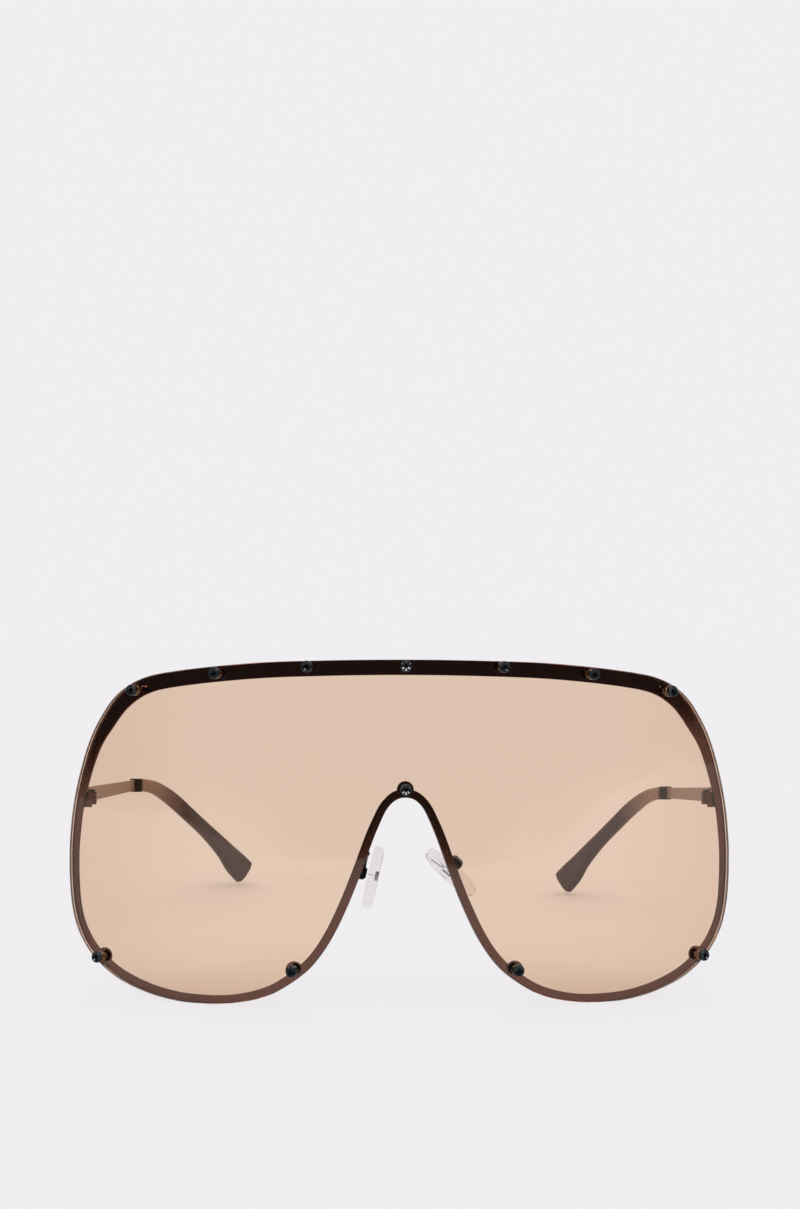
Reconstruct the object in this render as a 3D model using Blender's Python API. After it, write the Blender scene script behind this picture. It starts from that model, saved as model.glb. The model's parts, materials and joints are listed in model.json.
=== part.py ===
"""Wrapped one-lens sunglasses on a metal band: metres, +Z up, the front towards -Y, standing open."""

import math

import bmesh
import bpy
import numpy as np
from mathutils import Matrix, Vector

# Lens, measured along its curve and straight up
LENS_RADIUS = 0.145
LENS_HALF_ARC = 0.0818
LENS_HEIGHT = 0.07745
LENS_THICKNESS = 0.0014
FRONT_LEAN_DEG = 4.5
OUTLINE_STEP = 0.0042
OUTLINE_TURN_DEG = 9.0

# Half outline from the top centre round to the nose arch: across, up, band width
OUTLINE_SHARES = (
    (0.0, 1.0005, 0.96),
    (0.22, 0.998, 0.97),
    (0.43, 0.9905, 0.985),
    (0.66, 0.9675, 0.99),
    (0.764, 0.9445, 1.01),
    (0.842, 0.897, 1.05),
    (0.898, 0.8245, 0.97),
    (0.935, 0.752, 0.76),
    (0.967, 0.654, 0.64),
    (0.988, 0.557, 0.57),
    (0.998, 0.46, 0.53),
    (0.9990, 0.41, 0.505),
    (0.9970, 0.345, 0.50),
    (0.988, 0.268, 0.475),
    (0.966, 0.197, 0.485),
    (0.921, 0.129, 0.52),
    (0.842, 0.0655, 0.55),
    (0.745, 0.0245, 0.53),
    (0.65, 0.0025, 0.52),
    (0.565, -0.003, 0.505),
    (0.50, -0.0008, 0.495),
    (0.455, 0.0050, 0.51),
    (0.405, 0.0163, 0.54),
    (0.351, 0.039, 0.55),
    (0.283, 0.0865, 0.58),
    (0.2395, 0.134, 0.56),
    (0.197, 0.203, 0.56),
    (0.155, 0.2955, 0.57),
    (0.120, 0.3885, 0.565),
    (0.088, 0.4805, 0.56),
    (0.0675, 0.532, 0.54),
    (0.0545, 0.5605, 0.525),
    (0.0405, 0.5805, 0.52),
    (0.022, 0.595, 0.53),
    (0.0, 0.600, 0.54),
)

# Metal band behind the lens
BAND_WIDTH = 0.0036
BAND_THICKNESS = 0.0006
BAND_GAP = 0.00015
TAB_DIAMETER = 0.0038
TAB_PROUD = 0.00008

# Lens screws with their bushings, across and up
TOP_SCREW_SHARES = ((0.0, 0.981), (0.27, 0.980), (0.530, 0.9605), (0.779, 0.9115))
NOSE_SCREW_SHARE = (0.0, 0.6232)
BOTTOM_SCREW_SHARES = ((0.884, 0.1205), (0.309, 0.100))
HEAD_DIAMETER = 0.00265
HEAD_HEIGHT = 0.0013
HEAD_CHAMFER = 0.0002
SOCKET_DIAMETER = 0.00125
SOCKET_DEPTH = 0.0007
SHANK_DIAMETER = 0.0013
SHANK_TAIL = 0.0004
BUSHING_DIAMETER = 0.0026
BUSHING_THICKNESS = 0.0010
SCREW_SIDES = 12
BUSHING_SIDES = 16

# Clearances
SEAT_GAP = 0.00003
THREAD_GAP = 0.00004
HOLE_GAP = 0.00012
BARREL_GAP = 0.00006
SWING_GAP = 0.0002
CUT_OVERRUN = 0.001
SEAM_MERGE = 0.0000005

# Hinge, placed from the end plate at the lens's side
END_PLATE_INSET = 0.0030
HINGE_INSET = 0.00082
HINGE_STANDOFF = 0.00302
HINGE_UP = 0.04535
BARREL_DIAMETER = 0.0023
BARREL_HEIGHT = 0.00304
MIDDLE_BARREL_SHARE = 0.36
HINGE_PIN_DIAMETER = 0.0010
HINGE_HEAD_DIAMETER = 0.0017
HINGE_HEAD_HEIGHT = 0.0005
END_PLATE_HEIGHT = 0.0035
END_PLATE_WIDTH = 0.0034
END_PLATE_THICKNESS = 0.0010
END_WEB_THICKNESS = 0.0015
LEAF_THICKNESS = 0.0009
LEAF_LENGTH = 0.0072
LEAF_HEIGHT = 0.0026
BARREL_SIDES = 20

# Temple band, collar and tip sleeve
TEMPLE_LENGTH = 0.0840
TEMPLE_START = 0.0016
TEMPLE_OFFSET = 0.0007
TEMPLE_THICKNESS = 0.0009
TEMPLE_HEIGHT = 0.0034
TEMPLE_END_HEIGHT = 0.0029
TONGUE_HEIGHT = 0.0018
TONGUE_LENGTH = 0.0030
TENON_STEP = 0.0001
TEMPLE_TOE_DEG = 0.2
TEMPLE_SKEW_DEG = 2.65
LEFT_TEMPLE_SLOPE_DEG = 0.5
RIGHT_TEMPLE_SLOPE_DEG = 1.95
TEMPLE_RAISE = 0.0008
COLLAR_LENGTH = 0.0030
COLLAR_HEIGHT = 0.0036
COLLAR_INWARD = 0.0019
COLLAR_OUTWARD = 0.0005
COLLAR_BEVEL = 0.0003
COLLAR_SCREW_DIAMETER = 0.0009
COLLAR_SCREW_PROUD = 0.00012
COLLAR_SCREW_DEPTH = 0.0009
TIP_REACH = 0.0484
LEFT_TIP_INSET = 0.0257
RIGHT_TIP_INSET = 0.0246
TIP_DROP = 0.0274
TIP_HEIGHT = 0.0046
TIP_THICKNESS = 0.0027
TIP_SET_IN = 0.0004
TIP_SIDES = 16
TIP_STEPS = 26

# Along, in, down, then half height above and below the middle line, half thickness, slant
TIP_SHARES = (
    (0.0, 0.0, 0.0, 0.37, 0.365, 0.42, 0.0),
    (0.08, 0.055, 0.006, 0.385, 0.36, 0.44, 0.0),
    (0.17, 0.165, 0.043, 0.415, 0.365, 0.47, 0.0),
    (0.33, 0.32, 0.155, 0.39, 0.515, 0.49, 0.0),
    (0.49, 0.478, 0.335, 0.425, 0.465, 0.50, 0.0),
    (0.65, 0.63, 0.53, 0.57, 0.375, 0.50, 0.0),
    (0.80, 0.78, 0.735, 0.82, 0.42, 0.50, -0.03),
    (0.89, 0.87, 0.855, 0.95, 0.65, 0.50, -0.10),
    (0.955, 0.945, 0.94, 0.98, 0.72, 0.50, -0.18),
    (0.992, 0.99, 0.989, 0.98, 0.74, 0.46, -0.235),
)
TIP_END_SHARES = ((0.93, 0.12), (0.78, 0.22), (0.45, 0.29))

# Nose pads; the two arms are bent by hand, so each side has its own place
LEFT_BOX = (0.0094, 0.0097, 0.0290)
RIGHT_BOX = (0.0119, 0.0095, 0.0313)
LEFT_PAD_SPLAY_DEG = 12.6
RIGHT_PAD_SPLAY_DEG = 48.0
LEFT_PAD_TURN_DEG = 4.0
RIGHT_PAD_TURN_DEG = -16.0
LEFT_ARM_UP = 0.0338
RIGHT_ARM_UP = 0.0326
LEFT_WELD_SHARE = 0.05
RIGHT_WELD_SHARE = 0.30
LEFT_PAD_SLIDE = 0.0005
RIGHT_PAD_SLIDE = 0.0007
PAD_LENGTH = 0.0143
PAD_WIDTH = 0.0076
PAD_THICKNESS = 0.0024
PAD_STANDOFF = 0.0026
PAD_SIDES = 24
PAD_LEVEL_SHARES = ((-0.5, 0.80), (-0.40, 0.93), (-0.12, 1.0), (0.15, 0.985), (0.36, 0.86), (0.5, 0.60))
PAD_ARM_DIAMETER = 0.0010
PAD_ARM_SIDES = 10
PAD_ARM_STEPS = 14
PAD_ARM_LEAD = 0.0012
PAD_ARM_LEAD_SHARE = 0.45
BOX_LENGTH = 0.0030
BOX_WIDTH = 0.0022
BOX_FRONT = 0.00095
BOX_BACK = 0.0011
BOX_BEVEL = 0.0002
BOX_SLOT = 0.0009
PAD_PIN_DIAMETER = 0.0007
EYE_DIAMETER = 0.00145
CORE_LENGTH = 0.0027
CORE_WIDTH = 0.0015
CORE_THICKNESS = 0.0004
CORE_DEPTH_SHARE = 0.62

MATERIALS = {
    "lens": ((0.86, 0.68, 0.52), 0.0, 0.03, 0.35),
    "band": ((0.055, 0.040, 0.035), 1.0, 0.35, 1.0),
    "screw": ((0.01, 0.012, 0.014), 0.6, 0.15, 1.0),
    "bushing": ((0.85, 0.62, 0.36), 0.0, 0.08, 0.45),
    "temple": ((0.30, 0.22, 0.17), 1.0, 0.38, 1.0),
    "dark": ((0.025, 0.02, 0.018), 0.8, 0.3, 1.0),
    "tip": ((0.045, 0.033, 0.030), 0.0, 0.3, 1.0),
    "pad": ((0.93, 0.90, 0.89), 0.0, 0.2, 0.35),
    "core": ((0.45, 0.45, 0.46), 1.0, 0.3, 1.0),
}

for old in list(bpy.data.objects):
    bpy.data.objects.remove(old, do_unlink=True)
PARTS = bpy.data.collections.new("shield_sunglasses")
bpy.context.scene.collection.children.link(PARTS)


def material(name, kind):
    """A Principled material of one object's own."""
    colour, metallic, roughness, alpha = MATERIALS[kind]
    made = bpy.data.materials.new(name)
    made.use_nodes = True
    shader = made.node_tree.nodes["Principled BSDF"]
    shader.inputs["Base Color"].default_value = (*colour, 1.0)
    shader.inputs["Metallic"].default_value = metallic
    shader.inputs["Roughness"].default_value = roughness
    shader.inputs["Alpha"].default_value = alpha
    return made


def solid(name, points, faces, kind=None):
    """A closed mesh object with its faces turned outwards."""
    mesh = bpy.data.meshes.new(name)
    mesh.from_pydata([tuple(p) for p in points], [], faces)
    shape = bmesh.new()
    shape.from_mesh(mesh)
    bmesh.ops.recalc_face_normals(shape, faces=shape.faces)
    shape.to_mesh(mesh)
    shape.free()
    made = bpy.data.objects.new(name, mesh)
    PARTS.objects.link(made)
    if kind:
        mesh.materials.append(material(name, kind))
    return made


def lofted(name, rings, kind=None, loop=False):
    """A solid through rings of equal count, with flat ends, or joined end to start."""
    count = len(rings[0])
    points = [p for ring in rings for p in ring]
    faces = []
    for i in range(len(rings) if loop else len(rings) - 1):
        here, there = i * count, (i + 1) % len(rings) * count
        for j in range(count):
            k = (j + 1) % count
            faces.append((here + j, here + k, there + k, there + j))
    if not loop:
        faces.append(tuple(range(count)))
        faces.append(tuple(range(len(points) - count, len(points))))
    return solid(name, points, faces, kind)


def box(name, low, high, kind=None):
    """A block between two corners."""
    ends = list(zip(low, high))
    rings = []
    for z in ends[2]:
        rings.append([Vector((ends[0][i], ends[1][j], z)) for i, j in ((0, 0), (1, 0), (1, 1), (0, 1))])
    return lofted(name, rings, kind)


def turned(name, profile, sides, kind=None, loop=False, place=None):
    """A solid turned about its own Z from radius, height and socket flags."""
    place = place or Matrix()
    rings = []
    for radius, height, socket in profile:
        ring = []
        for i in range(sides):
            angle = 2 * math.pi * i / sides
            flat = math.cos(math.pi / 6) if socket and i % 2 else 1
            spot = Vector((radius * flat * math.cos(angle), radius * flat * math.sin(angle), height))
            ring.append(place @ spot)
        rings.append(ring)
    return lofted(name, rings, kind, loop)


def rod(name, diameter, low, high, sides, place=None, kind=None):
    """A plain round bar along its own Z."""
    return turned(name, ((diameter / 2, low, False), (diameter / 2, high, False)), sides, kind, place=place)


def combine(target, other, operation):
    """Cuts or joins another object and lets it go."""
    step = target.modifiers.new(operation.lower(), "BOOLEAN")
    step.operation = operation
    step.solver = "EXACT"
    step.object = other
    graph = bpy.context.evaluated_depsgraph_get()
    graph.update()
    made = bpy.data.meshes.new_from_object(target.evaluated_get(graph))
    shape = bmesh.new()
    shape.from_mesh(made)
    bmesh.ops.remove_doubles(shape, verts=shape.verts, dist=SEAM_MERGE)
    shape.to_mesh(made)
    shape.free()
    target.modifiers.clear()
    target.data = made
    bpy.data.objects.remove(other, do_unlink=True)


def cut(target, other):
    combine(target, other, "DIFFERENCE")


def join(target, other):
    combine(target, other, "UNION")


def bevelled(target, width):
    """Breaks the sharp edges by this much."""
    shape = bmesh.new()
    shape.from_mesh(target.data)
    bmesh.ops.bevel(
        shape, geom=list(shape.edges), offset=width, segments=1, affect="EDGES", profile=0.5
    )
    shape.to_mesh(target.data)
    shape.free()


def bend(u, z, depth):
    """A point this deep behind the lens's front face, in the front's own frame."""
    angle = u / LENS_RADIUS
    radius = LENS_RADIUS - depth
    return Vector((radius * math.sin(angle), LENS_RADIUS - radius * math.cos(angle), z))


def on_lens(u, z):
    """Axes on the lens's front face: across, up and outwards."""
    angle = u / LENS_RADIUS
    across = Vector((math.cos(angle), math.sin(angle), 0))
    out = Vector((math.sin(angle), -math.cos(angle), 0))
    turn = Matrix((across, out.cross(across), out)).transposed().to_4x4()
    return Matrix.Translation(bend(u, z, 0)) @ turn


def wrap(target):
    """Bends a flat mesh, across and up with Y as depth, onto the lens's curve."""
    for vertex in target.data.vertices:
        vertex.co = bend(vertex.co.x, vertex.co.z, vertex.co.y)
    shape = bmesh.new()
    shape.from_mesh(target.data)
    bmesh.ops.recalc_face_normals(shape, faces=shape.faces)
    shape.to_mesh(target.data)
    shape.free()


def spline(table, per_span):
    """Points on a smooth curve through the rows of a table."""
    rows = [np.array(row, float) for row in table]
    steps = [math.sqrt(np.linalg.norm(b[:3] - a[:3])) for a, b in zip(rows, rows[1:])]
    slopes = []
    for i in range(len(rows)):
        before, after = max(i - 1, 0), min(i + 1, len(rows) - 1)
        span = sum(steps[before:after])
        slopes.append((rows[after] - rows[before]) / span)
    made = []
    for i, step in enumerate(steps):
        for k in range(per_span):
            t = k / per_span
            a, b = 2 * t**3 - 3 * t**2 + 1, t**3 - 2 * t**2 + t
            c, d = -2 * t**3 + 3 * t**2, t**3 - t**2
            made.append(a * rows[i] + b * step * slopes[i] + c * rows[i + 1] + d * step * slopes[i + 1])
    made.append(rows[-1])
    return np.array(made)


def half_outline():
    """The right half of the lens outline, from the top centre to the nose arch, with band widths."""
    sizes = np.array((LENS_HALF_ARC, LENS_HEIGHT, BAND_WIDTH))
    table = np.array(OUTLINE_SHARES) * sizes
    mirrored_start = table[1] * (-1, 1, 1)
    mirrored_end = table[-2] * (-1, 1, 1)
    whole = spline([mirrored_start, *table, mirrored_end], 24)[24:-24]
    whole[0][0] = whole[-1][0] = 0
    whole[:, 0] = np.clip(whole[:, 0], 0, LENS_HALF_ARC)
    return whole


def thinned(dense):
    """Fewer points: closer where the curve turns."""
    ahead = np.diff(dense[:, :2], axis=0)
    length = np.linalg.norm(ahead, axis=1)
    heading = np.unwrap(np.arctan2(ahead[:, 1], ahead[:, 0]))
    turn = np.abs(np.diff(heading, prepend=heading[0]))
    cost = np.cumsum(length / OUTLINE_STEP + turn / math.radians(OUTLINE_TURN_DEG))
    cost = np.concatenate(([0], cost))
    wanted = np.linspace(0, cost[-1], int(cost[-1]) + 1)
    return np.stack([np.interp(wanted, cost, dense[:, i]) for i in range(3)], axis=1)


def full_loop(half):
    """The half outline and its mirror, as one loop."""
    other = half[1:-1][::-1] * (-1, 1, 1)
    return np.concatenate((half, other))


def flat_lens(half, dense):
    """The lens before it is bent: columns between its upper and lower edge."""
    far = int(np.argmax(dense[:, 0]))
    upper, lower = dense[: far + 1], dense[far:][::-1]
    columns = [float(u) for u in half[:, 0] if u < dense[far, 0] - SEAT_GAP]
    kept = []
    for u in sorted(columns):
        if not kept or u - kept[-1] > 4 * SEAT_GAP:
            kept.append(u)
    columns = [-u for u in kept[:0:-1]] + kept
    points, faces = [], []
    for u in columns:
        top = float(np.interp(abs(u), upper[:, 0], upper[:, 1]))
        low = float(np.interp(abs(u), lower[:, 0], lower[:, 1]))
        for z in (top, low):
            for depth in (0, LENS_THICKNESS):
                points.append((u, depth, z))
    for i in range(len(columns) - 1):
        a, b = 4 * i, 4 * i + 4
        faces += [(a, b, b + 2, a + 2), (a + 1, a + 3, b + 3, b + 1)]
        faces += [(a, a + 1, b + 1, b), (a + 2, b + 2, b + 3, a + 3)]
    end = len(points)
    for side, start in ((-1, 0), (1, end - 4)):
        tip = len(points)
        points += [(side * dense[far, 0], depth, dense[far, 1]) for depth in (0, LENS_THICKNESS)]
        faces += [(start, tip, start + 2), (start + 1, start + 3, tip + 1)]
        faces += [(start, start + 1, tip + 1, tip), (start + 2, tip, tip + 1, start + 3)]
    return solid("lens", points, faces, "lens")


def flat_band(loop):
    """The band before it is bent, inside the lens's outline."""
    ahead = np.roll(loop, -1, axis=0)[:, :2] - np.roll(loop, 1, axis=0)[:, :2]
    ahead /= np.linalg.norm(ahead, axis=1)[:, None]
    inward = np.stack([ahead[:, 1], -ahead[:, 0]], axis=1)
    near = LENS_THICKNESS + BAND_GAP
    rings = []
    for share, depth in ((0, near), (1, near), (1, near + BAND_THICKNESS), (0, near + BAND_THICKNESS)):
        edge = loop[:, :2] + inward * share * loop[:, 2:3]
        rings.append([Vector((u, depth, z)) for u, z in edge])
    return lofted("front_frame", rings, "band", loop=True)


def flat_rod(name, u, z, diameter, near, far, sides):
    """A round bar through the flat plates."""
    turn = Matrix.Translation((u, 0, z)) @ Matrix.Rotation(-math.pi / 2, 4, "X")
    off_seam = Matrix.Rotation(math.pi / sides / 2, 4, "Z")
    return rod(name, diameter, near, far, sides, turn @ off_seam)


def screw_places():
    """Every lens screw, left to right along the top, then the nose, then the bottom."""
    top = [(u, z) for u, z in TOP_SCREW_SHARES]
    top = [(-u, z) for u, z in top[:0:-1]] + top
    low = [(u, z) for u, z in BOTTOM_SCREW_SHARES]
    low = [(-u, z) for u, z in low] + low[::-1]
    places = top + [NOSE_SCREW_SHARE] + low
    return [(u * LENS_HALF_ARC, z * LENS_HEIGHT) for u, z in places]


dense = half_outline()
half = thinned(dense)
lens = flat_lens(half, dense)
front_frame = flat_band(full_loop(half))
places = screw_places()
band_near = LENS_THICKNESS + BAND_GAP
band_far = band_near + BAND_THICKNESS
for u, z in places[len(TOP_SCREW_SHARES) * 2 - 1 :]:
    tab = flat_rod("tab", u, z, TAB_DIAMETER, band_near - TAB_PROUD, band_far + TAB_PROUD, 2 * SCREW_SIDES)
    join(front_frame, tab)
for u, z in places:
    hole = SHANK_DIAMETER + 2 * HOLE_GAP
    cut(lens, flat_rod("hole", u, z, hole, -CUT_OVERRUN, LENS_THICKNESS + CUT_OVERRUN, SCREW_SIDES))
    hole = SHANK_DIAMETER + 2 * THREAD_GAP
    cut(front_frame, flat_rod("hole", u, z, hole, 0, band_far + CUT_OVERRUN, SCREW_SIDES))
wrap(lens)
wrap(front_frame)

for i, (u, z) in enumerate(places, 1):
    seat = BUSHING_THICKNESS + 2 * SEAT_GAP
    top = seat + HEAD_HEIGHT
    tail = band_far + TAB_PROUD + SHANK_TAIL
    turned(
        f"lens_screw_{i:02d}",
        (
            (SHANK_DIAMETER / 2, -tail, False),
            (SHANK_DIAMETER / 2, seat, False),
            (HEAD_DIAMETER / 2, seat, False),
            (HEAD_DIAMETER / 2, top - HEAD_CHAMFER, False),
            (HEAD_DIAMETER / 2 - HEAD_CHAMFER, top, False),
            (SOCKET_DIAMETER / 2, top, True),
            (SOCKET_DIAMETER / 2, top - SOCKET_DEPTH, True),
        ),
        SCREW_SIDES,
        "screw",
        place=on_lens(u, z),
    )
    inside = SHANK_DIAMETER / 2 + HOLE_GAP
    turned(
        f"lens_bushing_{i:02d}",
        (
            (inside, SEAT_GAP, False),
            (BUSHING_DIAMETER / 2, SEAT_GAP, False),
            (BUSHING_DIAMETER / 2, SEAT_GAP + BUSHING_THICKNESS, False),
            (inside, SEAT_GAP + BUSHING_THICKNESS, False),
        ),
        BUSHING_SIDES,
        "bushing",
        loop=True,
        place=on_lens(u, z),
    )


end_arc = LENS_HALF_ARC - END_PLATE_INSET
end_back = bend(end_arc, 0, band_far + END_PLATE_THICKNESS)
hinge_x = end_back.x - HINGE_INSET
hinge_back = end_back.y + HINGE_STANDOFF


def hinge(side, word):
    """End piece, screw and temple leaf of one hinge, built on the right and mirrored for the left."""
    low = HINGE_UP - BARREL_HEIGHT / 2
    high = HINGE_UP + BARREL_HEIGHT / 2
    middle = BARREL_HEIGHT * MIDDLE_BARREL_SHARE / 2
    at = Matrix.Translation((side * hinge_x, hinge_back, 0))
    arc, half_width = side * end_arc, END_PLATE_WIDTH / 2
    plate_low = (arc - half_width, band_far + SEAT_GAP, high - END_PLATE_HEIGHT)
    plate_high = (arc + half_width, band_far + END_PLATE_THICKNESS, high)
    plate = box(f"end_piece_{word}", plate_low, plate_high, "dark")
    wrap(plate)
    depth = LENS_RADIUS - band_far - END_PLATE_THICKNESS / 2
    foot = []
    for x in (hinge_x, hinge_x + END_WEB_THICKNESS):
        foot.append((x, LENS_RADIUS - math.sqrt(depth**2 - x**2)))
    foot += [(hinge_x + END_WEB_THICKNESS, hinge_back), (hinge_x, hinge_back)]
    inset = SEAT_GAP
    heights = (low + inset, high - inset)
    join(plate, lofted("web", [[Vector((side * x, y, z)) for x, y in foot] for z in heights]))
    join(plate, rod("barrel", BARREL_DIAMETER, low + 2 * inset, high - 2 * inset, BARREL_SIDES, at))
    room = BARREL_DIAMETER / 2 + SWING_GAP
    under, over = HINGE_UP - middle, HINGE_UP + middle
    slot = rod("slot", 2 * room, under - BARREL_GAP, over + BARREL_GAP, BARREL_SIDES, at)
    cut(plate, slot)
    hole = HINGE_PIN_DIAMETER + 2 * THREAD_GAP
    cut(plate, rod("hole", hole, low - CUT_OVERRUN, high + CUT_OVERRUN, SCREW_SIDES, at))

    turned(
        f"hinge_screw_{word}",
        (
            (HINGE_PIN_DIAMETER / 2, low, False),
            (HINGE_PIN_DIAMETER / 2, high + SEAT_GAP, False),
            (HINGE_HEAD_DIAMETER / 2, high + SEAT_GAP, False),
            (HINGE_HEAD_DIAMETER / 2, high + SEAT_GAP + HINGE_HEAD_HEIGHT / 2, False),
            (HINGE_PIN_DIAMETER / 2, high + SEAT_GAP + HINGE_HEAD_HEIGHT, False),
        ),
        SCREW_SIDES,
        "screw",
        place=at,
    )

    leaf = rod(f"temple_hinge_{word}", BARREL_DIAMETER, under, over, BARREL_SIDES, at, "dark")
    inner = side * (hinge_x + TEMPLE_OFFSET - SEAT_GAP - LEAF_THICKNESS)
    outer = side * (hinge_x + TEMPLE_OFFSET - SEAT_GAP)
    start = hinge_back + BARREL_DIAMETER / 2 + SWING_GAP
    neck_low = (min(inner, outer), hinge_back + HINGE_PIN_DIAMETER, under + inset)
    neck_high = (max(inner, outer), start + SWING_GAP, over - inset)
    join(leaf, box("neck", neck_low, neck_high))
    leaf_low = (min(inner, outer), start, HINGE_UP - LEAF_HEIGHT / 2)
    leaf_high = (max(inner, outer), hinge_back + LEAF_LENGTH, HINGE_UP + LEAF_HEIGHT / 2)
    join(leaf, box("leaf", leaf_low, leaf_high))
    cut(leaf, rod("hole", hole, low - CUT_OVERRUN, high + CUT_OVERRUN, SCREW_SIDES, at))
    return leaf


def temple(side, word, slope_deg, tip_inset):
    """Band, collar, screw and tip sleeve of one temple, straight back from its hinge."""
    inner = TEMPLE_OFFSET
    outer = TEMPLE_OFFSET + TEMPLE_THICKNESS

    rise = TEMPLE_RAISE

    def spot(along, out, up):
        return Vector((side * (hinge_x + out), hinge_back + along, HINGE_UP + up))

    def section(along, height, grow):
        corners = ((inner - grow, -1), (outer + grow, -1), (outer + grow, 1), (inner - grow, 1))
        return [spot(along, out, rise + way * (height / 2 + grow)) for out, way in corners]

    tip_start = TEMPLE_LENGTH
    collar_start = tip_start - COLLAR_LENGTH - SEAT_GAP
    rings = [section(TEMPLE_START, TEMPLE_HEIGHT, 0)]
    rings.append(section(collar_start - SEAT_GAP, TEMPLE_END_HEIGHT, 0))
    rings.append(section(collar_start - SEAT_GAP, TEMPLE_END_HEIGHT, -TENON_STEP))
    rings.append(section(tip_start - SEAT_GAP, TEMPLE_END_HEIGHT, -TENON_STEP))
    rings.append(section(tip_start - SEAT_GAP, TONGUE_HEIGHT, -TENON_STEP))
    rings.append(section(tip_start + TONGUE_LENGTH, TONGUE_HEIGHT, -TENON_STEP))
    band = lofted(f"temple_band_{word}", rings, "temple")

    def room(start, end, height):
        return lofted("room", [section(along, height, SEAT_GAP - TENON_STEP) for along in (start, end)])

    ends = (side * (hinge_x + inner - COLLAR_INWARD), side * (hinge_x + outer + COLLAR_OUTWARD))
    low = (min(ends), hinge_back + collar_start, HINGE_UP + rise - COLLAR_HEIGHT / 2)
    high = (max(ends), hinge_back + collar_start + COLLAR_LENGTH, HINGE_UP + rise + COLLAR_HEIGHT / 2)
    collar = box(f"collar_{word}", low, high, "dark")
    bevelled(collar, COLLAR_BEVEL)
    cut(collar, room(collar_start - CUT_OVERRUN, tip_start + CUT_OVERRUN, TEMPLE_END_HEIGHT))
    face = spot(collar_start + COLLAR_LENGTH / 2, inner - COLLAR_INWARD, rise)
    inward = Matrix.Translation(face) @ Matrix.Rotation(-side * math.pi / 2, 4, "Y")
    hole, deep = COLLAR_SCREW_DIAMETER + 2 * THREAD_GAP, -COLLAR_SCREW_DEPTH
    cut(collar, rod("hole", hole, deep - SEAT_GAP, CUT_OVERRUN, SCREW_SIDES, inward))
    name = f"collar_screw_{word}"
    rod(name, COLLAR_SCREW_DIAMETER, deep, COLLAR_SCREW_PROUD, SCREW_SIDES, inward, "screw")

    sizes = (TIP_REACH, tip_inset, TIP_DROP, TIP_HEIGHT, TIP_HEIGHT, TIP_THICKNESS, TIP_HEIGHT)
    table = np.array(TIP_SHARES) * np.array(sizes)
    path = spline(table, 12)
    length = np.concatenate(([0], np.cumsum(np.linalg.norm(np.diff(path[:, :3], axis=0), axis=1))))
    wanted = np.linspace(0, length[-1], TIP_STEPS)
    path = np.stack([np.interp(wanted, length, path[:, i]) for i in range(7)], axis=1)
    middle = (inner + outer) / 2 - TIP_SET_IN
    rings = []
    for i, row in enumerate(path):
        before, after = path[max(i - 1, 0)], path[min(i + 1, len(path) - 1)]
        way = after[:3] - before[:3]
        ahead = Vector((-side * way[1], way[0], -way[2])).normalized()
        if i == 0:
            ahead = Vector((0, 1, 0))
        out = ahead.cross(Vector((0, 0, 1))).normalized()
        up = out.cross(ahead)
        centre = spot(tip_start + row[0], middle - row[1], rise - row[2])
        scales = [(1, 0)]
        if i == len(path) - 1:
            scales += [(shrink, push * TIP_HEIGHT) for shrink, push in TIP_END_SHARES]
        for shrink, push in scales:
            ring = []
            mid = (row[3] - row[4]) / 2
            tall = (row[3] + row[4]) / 2
            for k in range(TIP_SIDES):
                angle = 2 * math.pi * (k + 0.5) / TIP_SIDES
                c, s = math.cos(angle), math.sin(angle)
                reach = (abs(c) ** 3 + abs(s) ** 3) ** (-1 / 3)
                high = mid + shrink * tall * s * reach
                wide = shrink * row[5] * c * reach
                slant = -row[6] * high / tall if tall else 0
                ring.append(centre + up * high + out * wide + ahead * (push + slant))
            rings.append(ring)
    tip = lofted(f"tip_{word}", rings, "tip")
    cut(tip, room(tip_start - CUT_OVERRUN, tip_start + TONGUE_LENGTH + SEAT_GAP, TONGUE_HEIGHT))

    pieces = [band, collar, bpy.data.objects[f"collar_screw_{word}"], tip]
    hub = Vector((side * hinge_x, hinge_back, HINGE_UP))
    skew = math.radians(TEMPLE_SKEW_DEG)
    toe = math.radians(TEMPLE_TOE_DEG) * side
    turn = Matrix.Rotation(toe - skew, 4, "Z")
    slope = Matrix.Rotation(-math.radians(slope_deg), 4, "X")
    for piece in pieces:
        piece.data.transform(Matrix.Translation(hub) @ turn @ slope @ Matrix.Translation(-hub))
    leaf = bpy.data.objects[f"temple_hinge_{word}"]
    leaf.data.transform(Matrix.Translation(hub) @ turn @ Matrix.Translation(-hub))
    return [*pieces, leaf], hub


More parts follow.
